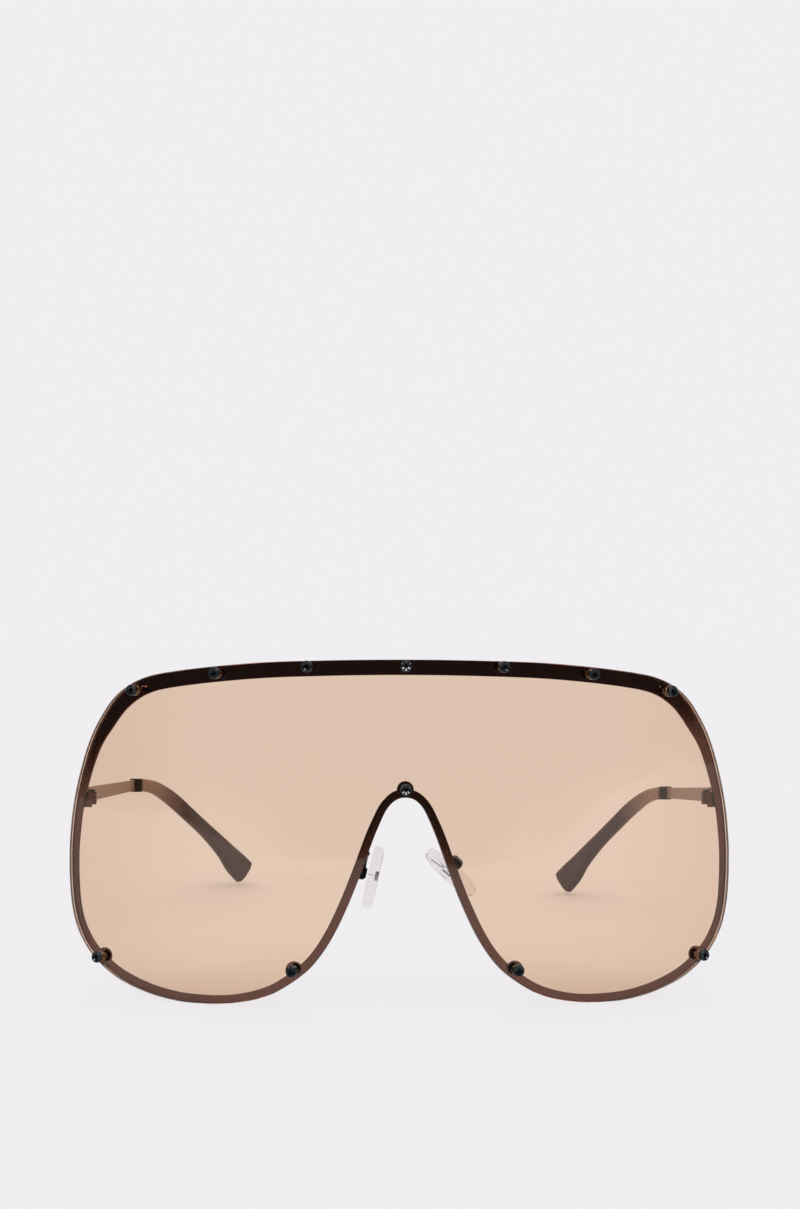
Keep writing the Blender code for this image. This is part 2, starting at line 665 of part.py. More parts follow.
def nose_pad(side, word, place, splay_deg, turn_deg, slide):
    """Arm, box, pin, core and pad of one side. The pad's own axes: Z to the nose, Y along it, X across."""
    centre = Vector((side * place[0], place[1], place[2]))
    splay = math.radians(splay_deg)
    along = Vector((-side * math.sin(splay), 0, math.cos(splay)))
    face = Vector((-side * math.cos(splay), 0, -math.sin(splay)))
    across = along.cross(face)
    axes = Matrix((across, along, face)).transposed().to_4x4()
    twist = Matrix.Rotation(math.radians(turn_deg) * side, 4, "Y")
    at = Matrix.Translation(centre) @ axes @ twist

    low = (-BOX_WIDTH / 2, -BOX_LENGTH / 2, -BOX_BACK)
    holder = box(f"pad_box_{word}", low, (BOX_WIDTH / 2, BOX_LENGTH / 2, BOX_FRONT), "dark")
    bevelled(holder, BOX_BEVEL)
    holder.data.transform(at)
    low = (-BOX_SLOT / 2, -BOX_LENGTH, -EYE_DIAMETER / 2 - BARREL_GAP)
    slot = box("slot", low, (BOX_SLOT / 2, BOX_LENGTH, BOX_FRONT + CUT_OVERRUN))
    slot.data.transform(at)
    cut(holder, slot)
    pin_turn = at @ Matrix.Rotation(math.pi / 2, 4, "Y")
    pin_hole = PAD_PIN_DIAMETER + 2 * THREAD_GAP
    cut(holder, rod("hole", pin_hole, -BOX_WIDTH, BOX_WIDTH, SCREW_SIDES, pin_turn))
    half_pin = BOX_WIDTH / 2 + BOX_BEVEL
    rod(f"pad_pin_{word}", PAD_PIN_DIAMETER, -half_pin, half_pin, SCREW_SIDES, pin_turn, "screw")

    back = PAD_STANDOFF - PAD_THICKNESS / 2
    rings = []
    for level, scale in PAD_LEVEL_SHARES:
        ring = []
        for k in range(PAD_SIDES):
            angle = 2 * math.pi * k / PAD_SIDES
            c, s = math.cos(angle), math.sin(angle)
            reach = (abs(c) ** 2.3 + abs(s) ** 2.3) ** (-1 / 2.3)
            x = PAD_WIDTH / 2 * scale * c * reach
            y = PAD_LENGTH / 2 * scale * s * reach - slide
            ring.append(at @ Vector((x, y, PAD_STANDOFF + level * PAD_THICKNESS)))
        rings.append(ring)
    pad = lofted(f"nose_pad_{word}", rings, "pad")

    deep = back + CORE_DEPTH_SHARE * PAD_THICKNESS
    plate_low = (-CORE_WIDTH / 2, -CORE_LENGTH / 2, deep - CORE_THICKNESS)
    plate_high = (CORE_WIDTH / 2, CORE_LENGTH / 2, deep)
    core = box(f"pad_core_{word}", plate_low, plate_high, "core")
    stem_half = BOX_SLOT / 2 - BARREL_GAP
    stem_reach = EYE_DIAMETER / 3
    stem_high = (stem_half, stem_reach, deep - CORE_THICKNESS / 2)
    join(core, box("stem", (-stem_half, -stem_reach, 0), stem_high))
    eye_turn = Matrix.Rotation(math.pi / 2, 4, "Y")
    eye_half = stem_half - SEAT_GAP
    join(core, rod("eye", EYE_DIAMETER, -eye_half, eye_half, 2 * SCREW_SIDES, eye_turn))
    cut(core, rod("hole", pin_hole, -BOX_WIDTH, BOX_WIDTH, SCREW_SIDES, eye_turn))
    core.data.transform(at)
    gap = SEAT_GAP
    pocket_low = (plate_low[0] - gap, plate_low[1] - gap, back - CUT_OVERRUN)
    pocket_high = (plate_high[0] + gap, plate_high[1] + gap, deep + gap)
    pocket = box("pocket", pocket_low, pocket_high)
    pocket.data.transform(at)
    cut(pad, pocket)
    return [pad, core], centre, (pin_turn.to_3x3() @ Vector((0, 0, 1))), at


def pad_arm(side, word, at, arm_up, weld_share):
    """A bent wire from the back of the band to the upper end of the pad box."""
    flank = dense[int(np.argmin(dense[:, 1])) :]
    edge, width = (float(np.interp(arm_up, flank[:, 1], flank[:, i])) for i in (0, 2))
    start = bend(side * (edge + width * weld_share), arm_up, band_far + SEAT_GAP)
    end = at @ Vector((0, BOX_LENGTH / 2 + SEAT_GAP, 0))
    lead = at @ Vector((0, BOX_LENGTH / 2 + PAD_ARM_LEAD, 0))
    out = Vector((side, 0, 0))
    back = Vector((0, 1, 0))
    reach = end.y - start.y
    bow = [start, start + back * reach * PAD_ARM_LEAD_SHARE, lead, end]
    path = spline([tuple(p) for p in bow], PAD_ARM_STEPS)
    path = path[:: max(1, len(path) // PAD_ARM_STEPS)]
    path = [Vector(p) for p in path]
    path[-1] = end
    rings = []
    side_way = None
    for i, centre in enumerate(path):
        ahead = (path[min(i + 1, len(path) - 1)] - path[max(i - 1, 0)]).normalized()
        if i == 0:
            ahead = back
        side_way = (out if side_way is None else side_way)
        side_way = (side_way - ahead * side_way.dot(ahead)).normalized()
        other = ahead.cross(side_way)
        ring = []
        for k in range(PAD_ARM_SIDES):
            angle = 2 * math.pi * k / PAD_ARM_SIDES
            radius = PAD_ARM_DIAMETER / 2
            ring.append(centre + side_way * radius * math.cos(angle) + other * radius * math.sin(angle))
        rings.append(ring)
    return lofted(f"pad_arm_{word}", rings, "dark")


moving = {}
ARM_WELDS = {"left": (LEFT_ARM_UP, LEFT_WELD_SHARE), "right": (RIGHT_ARM_UP, RIGHT_WELD_SHARE)}
for side, word, slope, inset in (
    (-1, "left", LEFT_TEMPLE_SLOPE_DEG, LEFT_TIP_INSET),
    (1, "right", RIGHT_TEMPLE_SLOPE_DEG, RIGHT_TIP_INSET),
):
    hinge(side, word)
    moving[f"temple_{word}"] = (*temple(side, word, slope, inset), Vector((0, 0, 1)))
for side, word, place, splay, turn, slide in (
    (-1, "left", LEFT_BOX, LEFT_PAD_SPLAY_DEG, LEFT_PAD_TURN_DEG, LEFT_PAD_SLIDE),
    (1, "right", RIGHT_BOX, RIGHT_PAD_SPLAY_DEG, RIGHT_PAD_TURN_DEG, RIGHT_PAD_SLIDE),
):
    pieces, hub, axis, at = nose_pad(side, word, place, splay, turn, slide)
    arm_up, weld_share = ARM_WELDS[word]
    pad_arm(side, word, at, arm_up, weld_share)
    moving[f"pad_{word}"] = (pieces, hub, axis)

# Lean the whole thing back and stand it on its lowest points
lean = Matrix.Rotation(-math.radians(FRONT_LEAN_DEG), 4, "X")
corners = []
for piece in PARTS.objects:
    piece.data.transform(lean)
    corners += [tuple(v.co) for v in piece.data.vertices]
low, high = np.min(corners, axis=0), np.max(corners, axis=0)
shift = Vector((-(low[0] + high[0]) / 2, -(low[1] + high[1]) / 2, -low[2]))
for piece in PARTS.objects:
    piece.data.transform(Matrix.Translation(shift))
print("shift", tuple(shift), "size", high - low)
for body, (pieces, hub, axis) in moving.items():
    hub = shift + lean @ hub
    print(body, "hub", tuple(round(v, 6) for v in hub), "axis", tuple(round(v, 6) for v in lean @ axis))
    for piece in pieces:
        piece.data.transform(Matrix.Translation(-hub))
        piece.location = hub
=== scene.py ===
"""The looks of the wrapped shield sunglasses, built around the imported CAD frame."""

import json
import math

import bmesh
import bpy
import numpy as np
from mathutils import Matrix, Vector


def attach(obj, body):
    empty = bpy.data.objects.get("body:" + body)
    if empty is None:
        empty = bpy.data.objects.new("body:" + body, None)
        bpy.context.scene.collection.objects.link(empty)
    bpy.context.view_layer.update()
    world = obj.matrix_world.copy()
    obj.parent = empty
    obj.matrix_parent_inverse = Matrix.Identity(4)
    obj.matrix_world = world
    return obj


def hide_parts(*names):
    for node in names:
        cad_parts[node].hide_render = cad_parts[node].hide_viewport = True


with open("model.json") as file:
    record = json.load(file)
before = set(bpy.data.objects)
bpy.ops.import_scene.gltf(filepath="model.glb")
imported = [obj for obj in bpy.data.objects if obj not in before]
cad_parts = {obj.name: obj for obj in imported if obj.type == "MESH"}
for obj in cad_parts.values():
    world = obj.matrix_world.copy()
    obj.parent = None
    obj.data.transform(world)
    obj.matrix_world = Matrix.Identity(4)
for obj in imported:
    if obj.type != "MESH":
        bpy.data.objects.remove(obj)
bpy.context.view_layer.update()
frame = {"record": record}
RECORD = frame["record"]

# Camera, from the photograph's framing: its place is measured from the foot of the lens's middle
IMAGE_WIDTH = 800
FOCAL_PIXELS = 2161.902
CAMERA_FROM_LENS = (-0.021302, -0.480035, 0.104331)
CAMERA_YAW_DEG = 2.349
CAMERA_PITCH_DEG = 1.726
CAMERA_ROLL_DEG = 0.280

# Lens, measured along its curve and straight up
LENS_RADIUS = 0.145
LENS_HALF_ARC = 0.0818
LENS_HEIGHT = 0.07745
LENS_THICKNESS = 0.0014
LENS_ROUND = 0.00008
RIM = "ground_rim"
RIM_LEAN = 0.7
FRONT_LEAN_DEG = 4.5
OUTLINE_STEP = 0.0004

# Half outline from the top centre round to the nose arch: across, up, band width
OUTLINE_SHARES = (
    (0.0, 1.0005, 0.96),
    (0.22, 0.998, 0.97),
    (0.43, 0.9905, 0.985),
    (0.66, 0.9675, 0.99),
    (0.764, 0.9445, 1.01),
    (0.842, 0.897, 1.05),
    (0.898, 0.8245, 0.97),
    (0.935, 0.752, 0.76),
    (0.967, 0.654, 0.64),
    (0.988, 0.557, 0.57),
    (0.998, 0.46, 0.53),
    (0.9990, 0.41, 0.505),
    (0.9970, 0.345, 0.50),
    (0.988, 0.268, 0.475),
    (0.966, 0.197, 0.485),
    (0.921, 0.129, 0.52),
    (0.842, 0.0655, 0.55),
    (0.745, 0.0245, 0.53),
    (0.65, 0.0025, 0.52),
    (0.565, -0.003, 0.505),
    (0.50, -0.0008, 0.495),
    (0.455, 0.0050, 0.51),
    (0.405, 0.0163, 0.54),
    (0.351, 0.039, 0.55),
    (0.283, 0.0865, 0.58),
    (0.2395, 0.134, 0.56),
    (0.197, 0.203, 0.56),
    (0.155, 0.2955, 0.57),
    (0.120, 0.3885, 0.565),
    (0.088, 0.4805, 0.56),
    (0.0675, 0.532, 0.54),
    (0.0545, 0.5605, 0.525),
    (0.0405, 0.5805, 0.52),
    (0.022, 0.595, 0.53),
    (0.0, 0.600, 0.54),
)

# Metal band behind the lens
BAND_WIDTH = 0.0036
BAND_THICKNESS = 0.0006
BAND_GAP = 0.00015
BAND_ROUND = 0.00010
TAB_DIAMETER = 0.0038
TAB_PROUD = 0.00008
TAB_ROUND = 0.00012

# Lens screws with their bushings, across and up
TOP_SCREW_SHARES = ((0.0, 0.981), (0.27, 0.980), (0.530, 0.9605), (0.779, 0.9115))
NOSE_SCREW_SHARE = (0.0, 0.6232)
BOTTOM_SCREW_SHARES = ((0.884, 0.1205), (0.309, 0.100))
HEAD_DIAMETER = 0.00265
HEAD_HEIGHT = 0.0013
HEAD_ROUND = 0.0003
SOCKET_DIAMETER = 0.00125
SOCKET_DEPTH = 0.0007
SOCKET_CHAMFER = 0.00034
SOCKET_CORNER_SHARE = 0.45
DISH_DEPTH = 0.00019
SHANK_DIAMETER = 0.0013
SHANK_TAIL = 0.0004
BUSHING_DIAMETER = 0.0026
BUSHING_THICKNESS = 0.0010
BUSHING_ROUND = 0.00018
TURNED_SIDES = 48
HEX_SIDES = 6

# Driver slots of the small screws, as shares of the head's half width
SLOT_WIDTH_SHARE = 1 / 9
SLOT_DEPTH_SHARE = 1 / 5

# Clearances
SEAT_GAP = 0.00003
HOLE_GAP = 0.00012
BARREL_GAP = 0.00006
SWING_GAP = 0.0002
CUT_OVERRUN = 0.001

# Hinge, placed from the end plate at the lens's side
END_PLATE_INSET = 0.0030
HINGE_INSET = 0.00082
HINGE_STANDOFF = 0.00302
HINGE_UP = 0.04535
BARREL_DIAMETER = 0.0023
BARREL_HEIGHT = 0.00304
BARREL_ROUND = 0.00012
MIDDLE_BARREL_SHARE = 0.36
HINGE_PIN_DIAMETER = 0.0010
HINGE_HEAD_DIAMETER = 0.0017
HINGE_HEAD_HEIGHT = 0.0005
END_PLATE_HEIGHT = 0.0035
END_PLATE_WIDTH = 0.0034
END_PLATE_THICKNESS = 0.0010
END_WEB_THICKNESS = 0.0015
LEAF_THICKNESS = 0.0009
LEAF_LENGTH = 0.0072
LEAF_HEIGHT = 0.0026
PLATE_ROUND = 0.00014

# Temple band, collar and tip sleeve
TEMPLE_LENGTH = 0.0840
TEMPLE_START = 0.0016
TEMPLE_OFFSET = 0.0007
TEMPLE_THICKNESS = 0.0009
TEMPLE_HEIGHT = 0.0034
TEMPLE_END_HEIGHT = 0.0029
TEMPLE_ROUND = 0.00018
TONGUE_HEIGHT = 0.0018
TONGUE_LENGTH = 0.0030
TENON_STEP = 0.0001
TEMPLE_TOE_DEG = 0.2
TEMPLE_SKEW_DEG = 2.65
TEMPLE_RAISE = 0.0008
TEMPLE_SIDES = {
    "left": {"side": -1, "slope_deg": 0.5, "inset": 0.0257},
    "right": {"side": 1, "slope_deg": 1.95, "inset": 0.0246},
}
COLLAR_LENGTH = 0.0030
COLLAR_HEIGHT = 0.0036
COLLAR_INWARD = 0.0019
COLLAR_OUTWARD = 0.0005
COLLAR_ROUND = 0.00035
COLLAR_SCREW_DIAMETER = 0.0009
COLLAR_SCREW_PROUD = 0.00012
COLLAR_SCREW_DEPTH = 0.0009
COLLAR_SLOT_DEG = 36
TIP_REACH = 0.0484
TIP_DROP = 0.0274
TIP_HEIGHT = 0.0046
TIP_THICKNESS = 0.0027
TIP_SET_IN = 0.0004
TIP_SQUARENESS = 3
TIP_SIDES = 48
TIP_STEPS = 140

# Along, in, down, then half height above and below the middle line, half thickness, slant
TIP_SHARES = (
    (0.0, 0.0, 0.0, 0.37, 0.365, 0.42, 0.0),
    (0.08, 0.055, 0.006, 0.385, 0.36, 0.44, 0.0),
    (0.17, 0.165, 0.043, 0.415, 0.365, 0.47, 0.0),
    (0.33, 0.32, 0.155, 0.39, 0.515, 0.49, 0.0),
    (0.49, 0.478, 0.335, 0.425, 0.465, 0.50, 0.0),
    (0.65, 0.63, 0.53, 0.57, 0.375, 0.50, 0.0),
    (0.80, 0.78, 0.735, 0.82, 0.42, 0.50, -0.03),
    (0.89, 0.87, 0.855, 0.95, 0.65, 0.50, -0.10),
    (0.955, 0.945, 0.94, 0.98, 0.72, 0.50, -0.18),
    (0.992, 0.99, 0.989, 0.98, 0.74, 0.46, -0.235),
)
TIP_END_SHARES = ((0.985, 0.05), (0.94, 0.11), (0.86, 0.17), (0.74, 0.22), (0.56, 0.26), (0.30, 0.285))

# Nose pads; the two arms are bent by hand, so each side has its own place
PAD_SETS = {
    "left": {
        "side": -1, "box": (0.0094, 0.0097, 0.0290), "splay_deg": 12.6, "turn_deg": 4.0,
        "slide": 0.0005, "arm_up": 0.0338, "weld_share": 0.05},
    "right": {
        "side": 1, "box": (0.0119, 0.0095, 0.0313), "splay_deg": 48.0, "turn_deg": -16.0,
        "slide": 0.0007, "arm_up": 0.0326, "weld_share": 0.30},
}
PAD_LENGTH = 0.0143
PAD_WIDTH = 0.0076
PAD_THICKNESS = 0.0024
PAD_STANDOFF = 0.0026
PAD_SIDES = 64
PAD_LEVELS = 22
PAD_SQUARENESS = 2.5
PAD_LEVEL_SHARES = ((-0.5, 0.88), (-0.40, 0.97), (-0.12, 1.0), (0.15, 0.99), (0.36, 0.94), (0.5, 0.78))
PAD_ARM_DIAMETER = 0.0010
PAD_ARM_SIDES = 24
PAD_ARM_STEPS = 80
PAD_ARM_LEAD = 0.0012
PAD_ARM_LEAD_SHARE = 0.45
BOX_LENGTH = 0.0030
BOX_WIDTH = 0.0022
BOX_FRONT = 0.00095
BOX_BACK = 0.0011
BOX_ROUND = 0.0002
BOX_CUT = 0.00055
BOX_SLOT = 0.0009
PAD_PIN_DIAMETER = 0.0007
EYE_DIAMETER = 0.00145
CORE_LENGTH = 0.0022
CORE_WIDTH = 0.0012
CORE_THICKNESS = 0.0004
CORE_DEPTH_SHARE = 0.80
CORE_NECK_SHARE = 0.125

# Looks that change with place or towards edges
TINT_REACH = 0.078
# Painted sheen: where the sleeve's light start fades to its dark colour
SLEEVE_SHEEN_FADE = (0.008, 0.022)
# Edges lighten as wear and as a painted highlight within this radius
WEAR_AND_HIGHLIGHT_RADIUS = 0.00012
WEAR_AND_HIGHLIGHT_MATCH = (0.97, 0.80)
ARM_BLACK = (0.020, 0.021, 0.021)
ARMS_BEHIND = 0.0058
ARMS_UNDER = 0.0385
ARMS_REACH = 0.0160

# Fineness of the meshes, and the angle from which an edge stays sharp
SPLINE_STEPS = 24
ROUND_SEGMENTS = 3
SHARP_DEG = 34

BAND_NEAR = LENS_THICKNESS + BAND_GAP
BAND_FAR = BAND_NEAR + BAND_THICKNESS

BODY_OF = {node: body for body, nodes in RECORD["behaviour"]["bodies"].items() for node in nodes}
SLOT_OF = {row["node"]: row["material_slot"] for row in RECORD["subparts"]}
MATERIALS = {}


def turned(degrees, axis):
    return Matrix.Rotation(math.radians(degrees), 4, axis)


def bend(u, z, depth):
    """A point this deep behind the lens's front face, in the front's own frame."""
    angle = u / LENS_RADIUS
    radius = LENS_RADIUS - depth
    return Vector((radius * math.sin(angle), LENS_RADIUS - radius * math.cos(angle), z))


LEAN = turned(-FRONT_LEAN_DEG, "X")
END_ARC = LENS_HALF_ARC - END_PLATE_INSET
END_BACK = bend(END_ARC, 0, BAND_FAR + END_PLATE_THICKNESS)
HINGE_X = END_BACK.x - HINGE_INSET
HINGE_BACK = END_BACK.y + HINGE_STANDOFF


def front_shift():
    """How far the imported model's frame lies from the front's own, from the right hinge's axis."""
    for joint in RECORD["behaviour"]["joints"]:
        if joint["name"] == "temple_right":
            return Vector(joint["pos_m"]) - LEAN @ Vector((HINGE_X, HINGE_BACK, HINGE_UP))


SHIFT = front_shift()
FRONT = Matrix.Translation(SHIFT) @ LEAN


def in_scene(name, data):
    """A new object with this data, in the scene."""
    made = bpy.data.objects.new(name, data)
    bpy.context.scene.collection.objects.link(made)
    return made


def mesh_object(name, mesh):
    """Ends a bmesh as an object in the scene."""
    data = bpy.data.meshes.new(name)
    mesh.to_mesh(data)
    mesh.free()
    return in_scene(name, data)


def make_camera():
    """A camera at the photograph's place and angle."""
    data = bpy.data.cameras.new("photo_camera")
    data.sensor_fit = "HORIZONTAL"
    data.lens = data.sensor_width * FOCAL_PIXELS / IMAGE_WIDTH
    data.clip_start = 0.01
    camera = in_scene("photo_camera", data)
    yaw, pitch, roll = (math.radians(v) for v in (CAMERA_YAW_DEG, CAMERA_PITCH_DEG, CAMERA_ROLL_DEG))
    ahead = Vector((math.sin(yaw) * math.cos(pitch), math.cos(yaw) * math.cos(pitch), -math.sin(pitch)))
    right = ahead.cross(Vector((0, 0, 1))).normalized()
    up = right.cross(ahead)
    rolled = right * math.cos(roll) + up * math.sin(roll)
    up = up * math.cos(roll) - right * math.sin(roll)
    turn = Matrix((rolled, up, -ahead)).transposed().to_4x4()
    camera.matrix_world = Matrix.Translation(SHIFT + Vector(CAMERA_FROM_LENS)) @ turn
    bpy.context.scene.camera = camera


class Shape:
    """A mesh being built from shells, then placed once as a finished piece."""

    def __init__(self):
        self.mesh = bmesh.new()

    def add(self, points, faces, place=None):
        """One closed shell, with its faces turned outwards."""
        place = place or Matrix()
        verts = [self.mesh.verts.new(place @ Vector(p)) for p in points]
        made = [self.mesh.faces.new([verts[i] for i in face]) for face in faces]
        bmesh.ops.recalc_face_normals(self.mesh, faces=made)

    def loft(self, rings, loop=False, place=None):
        """A shell through rings of equal count, with flat ends, or joined end to start."""
        count = len(rings[0])
        points = [p for ring in rings for p in ring]
        faces = []
        for i in range(len(rings) if loop else len(rings) - 1):
            here, there = i * count, (i + 1) % len(rings) * count
            for j in range(count):
                k = (j + 1) % count
                faces.append((here + j, here + k, there + k, there + j))
        if not loop:
            faces.append(tuple(range(count)))
            faces.append(tuple(range(len(points) - count, len(points))))
        self.add(points, faces, place)

    def turn(self, profile, loop=False, place=None):
        """A shell turned about its own Z through radius and height rows, with True for a hexagon."""
        rings = []
        for radius, height, *hexagon in profile:
            ring = []
            for i in range(TURNED_SIDES):
                angle = 2 * math.pi * i / TURNED_SIDES
                reach = radius
                if hexagon:
                    part = math.pi / HEX_SIDES
                    reach *= math.cos(part) / math.cos(angle % (2 * part) - part)
                ring.append((reach * math.cos(angle), reach * math.sin(angle), height))
            rings.append(ring)
        self.loft(rings, loop, place)

    def rod(self, diameter, low, high, round_by=0, place=None):
        """A round bar along its own Z, with rounded rims."""
        profile = [(diameter / 2, low), (diameter / 2, high)]
        if round_by:
            start = [(diameter / 2 - x, low + y) for x, y in quarter(round_by)]
            end = [(diameter / 2 - x, high - y) for x, y in quarter(round_by)]
            profile = start + end[::-1]
        self.turn(profile, place=place)

    def block(self, low, high, round_by=0, place=None):
        """A block between two corners, with rounded edges."""
        part = Shape()
        corners = [(low[0], low[1]), (high[0], low[1]), (high[0], high[1]), (low[0], high[1])]
        part.loft([[(x, y, z) for x, y in corners] for z in (low[2], high[2])])
        if round_by:
            part.soften(round_by)
        self.take(part, place)

    def slab(self, half_x, half_y, low, high, round_by=0, place=None):
        """A block centred on its own Z."""
        self.block((-half_x, -half_y, low), (half_x, half_y, high), round_by, place)

    def soften(self, width):
        """Rounds every edge."""
        bmesh.ops.bevel(
            self.mesh, geom=list(self.mesh.edges), offset=width, segments=ROUND_SEGMENTS,
            affect="EDGES", profile=0.5, clamp_overlap=True)

    def take(self, other, place=None):
        """Moves another shape's shells in."""
        kept = bpy.data.meshes.new("part")
        if place:
            other.mesh.transform(place)
        other.mesh.to_mesh(kept)
        other.mesh.free()
        self.mesh.from_mesh(kept)
        bpy.data.meshes.remove(kept)

    def cut(self, other):
        """Takes another shape out of this one."""
        whole, tool = (mesh_object("loose", shape.mesh) for shape in (self, other))
        step = whole.modifiers.new("cut", "BOOLEAN")
        step.operation = "DIFFERENCE"
        step.solver = "EXACT"
        step.object = tool
        graph = bpy.context.evaluated_depsgraph_get()
        graph.update()
        made = bpy.data.meshes.new_from_object(whole.evaluated_get(graph))
        self.mesh = bmesh.new()
        self.mesh.from_mesh(made)
        for old in (whole, tool):
            bpy.data.objects.remove(old, do_unlink=True)

    def bent(self):
        """Bends flat shells, across and up with Y as depth, onto the lens's curve."""
        for vert in self.mesh.verts:
            vert.co = bend(vert.co.x, vert.co.z, vert.co.y)
        bmesh.ops.recalc_face_normals(self.mesh, faces=self.mesh.faces)

    def piece(self, name, node, place=None, smooth=True):
        """Ends the shape as a visible piece that stands for a CAD node."""
        self.mesh.transform(FRONT @ (place or Matrix()))
        limit = math.radians(SHARP_DEG)
        for face in self.mesh.faces:
            face.smooth = smooth
        for edge in self.mesh.edges:
            edge.smooth = smooth and edge.calc_face_angle(math.pi) < limit
        made = mesh_object(name, self.mesh)
        if smooth:
            even = made.modifiers.new("even_shading", "WEIGHTED_NORMAL")
            even.keep_sharp = True
        made.data.materials.append(MATERIALS[SLOT_OF[node]])
        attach(made, BODY_OF[node])
        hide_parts(node)


def quarter(radius):
    """Inset and rise along a quarter circle, from the flat end to the side."""
    angles = [math.pi / 2 * i / ROUND_SEGMENTS for i in range(ROUND_SEGMENTS + 1)]
    return [(radius * (1 - math.sin(a)), radius * (1 - math.cos(a))) for a in angles]


def rounded_corners(low, high, radius):
    """Points round a rectangle between two corners, with rounded corners."""
    steps = quarter(radius)
    made = [(low[0] + x, low[1] + y) for x, y in steps[::-1]]
    made += [(high[0] - x, low[1] + y) for x, y in steps]
    made += [(high[0] - x, high[1] - y) for x, y in steps[::-1]]
    made += [(low[0] + x, high[1] - y) for x, y in steps]
    return made


def squarish(squareness, sides, start=0.0):
    """Points round an outline between circle and square, one unit from its middle to each side."""
    made = []
    for k in range(sides):
        angle = 2 * math.pi * (k + start) / sides
        c, s = math.cos(angle), math.sin(angle)
        reach = (abs(c) ** squareness + abs(s) ** squareness) ** (-1 / squareness)
        made.append((c * reach, s * reach))
    return made


def on_lens(u, z):
    """Axes on the lens's front face: across, up and outwards."""
    angle = u / LENS_RADIUS
    across = Vector((math.cos(angle), math.sin(angle), 0))
    out = Vector((math.sin(angle), -math.cos(angle), 0))
    turn = Matrix((across, out.cross(across), out)).transposed().to_4x4()
    return Matrix.Translation(bend(u, z, 0)) @ turn


def spline(table, per_span):
    """Points on a smooth curve through the rows of a table."""
    rows = [np.array(row, float) for row in table]
    steps = [math.sqrt(np.linalg.norm(b[:3] - a[:3])) for a, b in zip(rows, rows[1:])]
    slopes = []
    for i in range(len(rows)):
        before, after = max(i - 1, 0), min(i + 1, len(rows) - 1)
        span = sum(steps[before:after])
        slopes.append((rows[after] - rows[before]) / span)
    made = []
    for i, step in enumerate(steps):
        for k in range(per_span):
            t = k / per_span
            a, b = 2 * t**3 - 3 * t**2 + 1, t**3 - 2 * t**2 + t
            c, d = -2 * t**3 + 3 * t**2, t**3 - t**2
            made.append(a * rows[i] + b * step * slopes[i] + c * rows[i + 1] + d * step * slopes[i + 1])
    made.append(rows[-1])
    return np.array(made)


def steps_of(path):
    """Distance from each point of a path to the next."""
    return np.linalg.norm(np.diff(path, axis=0), axis=1)


def evenly(path, count, columns=3):
    """The same path with this many points at equal distances."""
    length = np.concatenate(([0], np.cumsum(steps_of(path[:, :columns]))))
    wanted = np.linspace(0, length[-1], count)
    return np.stack([np.interp(wanted, length, path[:, i]) for i in range(path.shape[1])], axis=1)


def half_outline():
    """The right half of the lens outline, from the top centre to the nose arch, with band widths."""
    table = np.array(OUTLINE_SHARES) * (LENS_HALF_ARC, LENS_HEIGHT, BAND_WIDTH)
    before, after = (row * (-1, 1, 1) for row in (table[1], table[-2]))
    whole = spline([before, *table, after], SPLINE_STEPS)[SPLINE_STEPS:-SPLINE_STEPS]
    whole[0][0] = whole[-1][0] = 0
    whole[:, 0] = np.clip(whole[:, 0], 0, LENS_HALF_ARC)
    return evenly(whole, int(steps_of(whole[:, :2]).sum() / OUTLINE_STEP), 2)


def inward_of(loop):
    """Unit directions into the lens along a closed outline."""
    ahead = np.roll(loop, -1, axis=0)[:, :2] - np.roll(loop, 1, axis=0)[:, :2]
    ahead /= np.linalg.norm(ahead, axis=1)[:, None]
    return np.stack([ahead[:, 1], -ahead[:, 0]], axis=1)


def full_loop(half):
    """The half outline and its mirror, as one loop."""
    other = half[1:-1][::-1] * (-1, 1, 1)
    return np.concatenate((half, other))


def screw_places():
    """Every lens screw, left to right along the top, then the nose, then the bottom."""
    top, low = TOP_SCREW_SHARES, BOTTOM_SCREW_SHARES
    places = [(-u, z) for u, z in top[:0:-1]] + [*top, NOSE_SCREW_SHARE]
    places += [(-u, z) for u, z in low] + [*low[::-1]]
    return [(u * LENS_HALF_ARC, z * LENS_HEIGHT) for u, z in places]


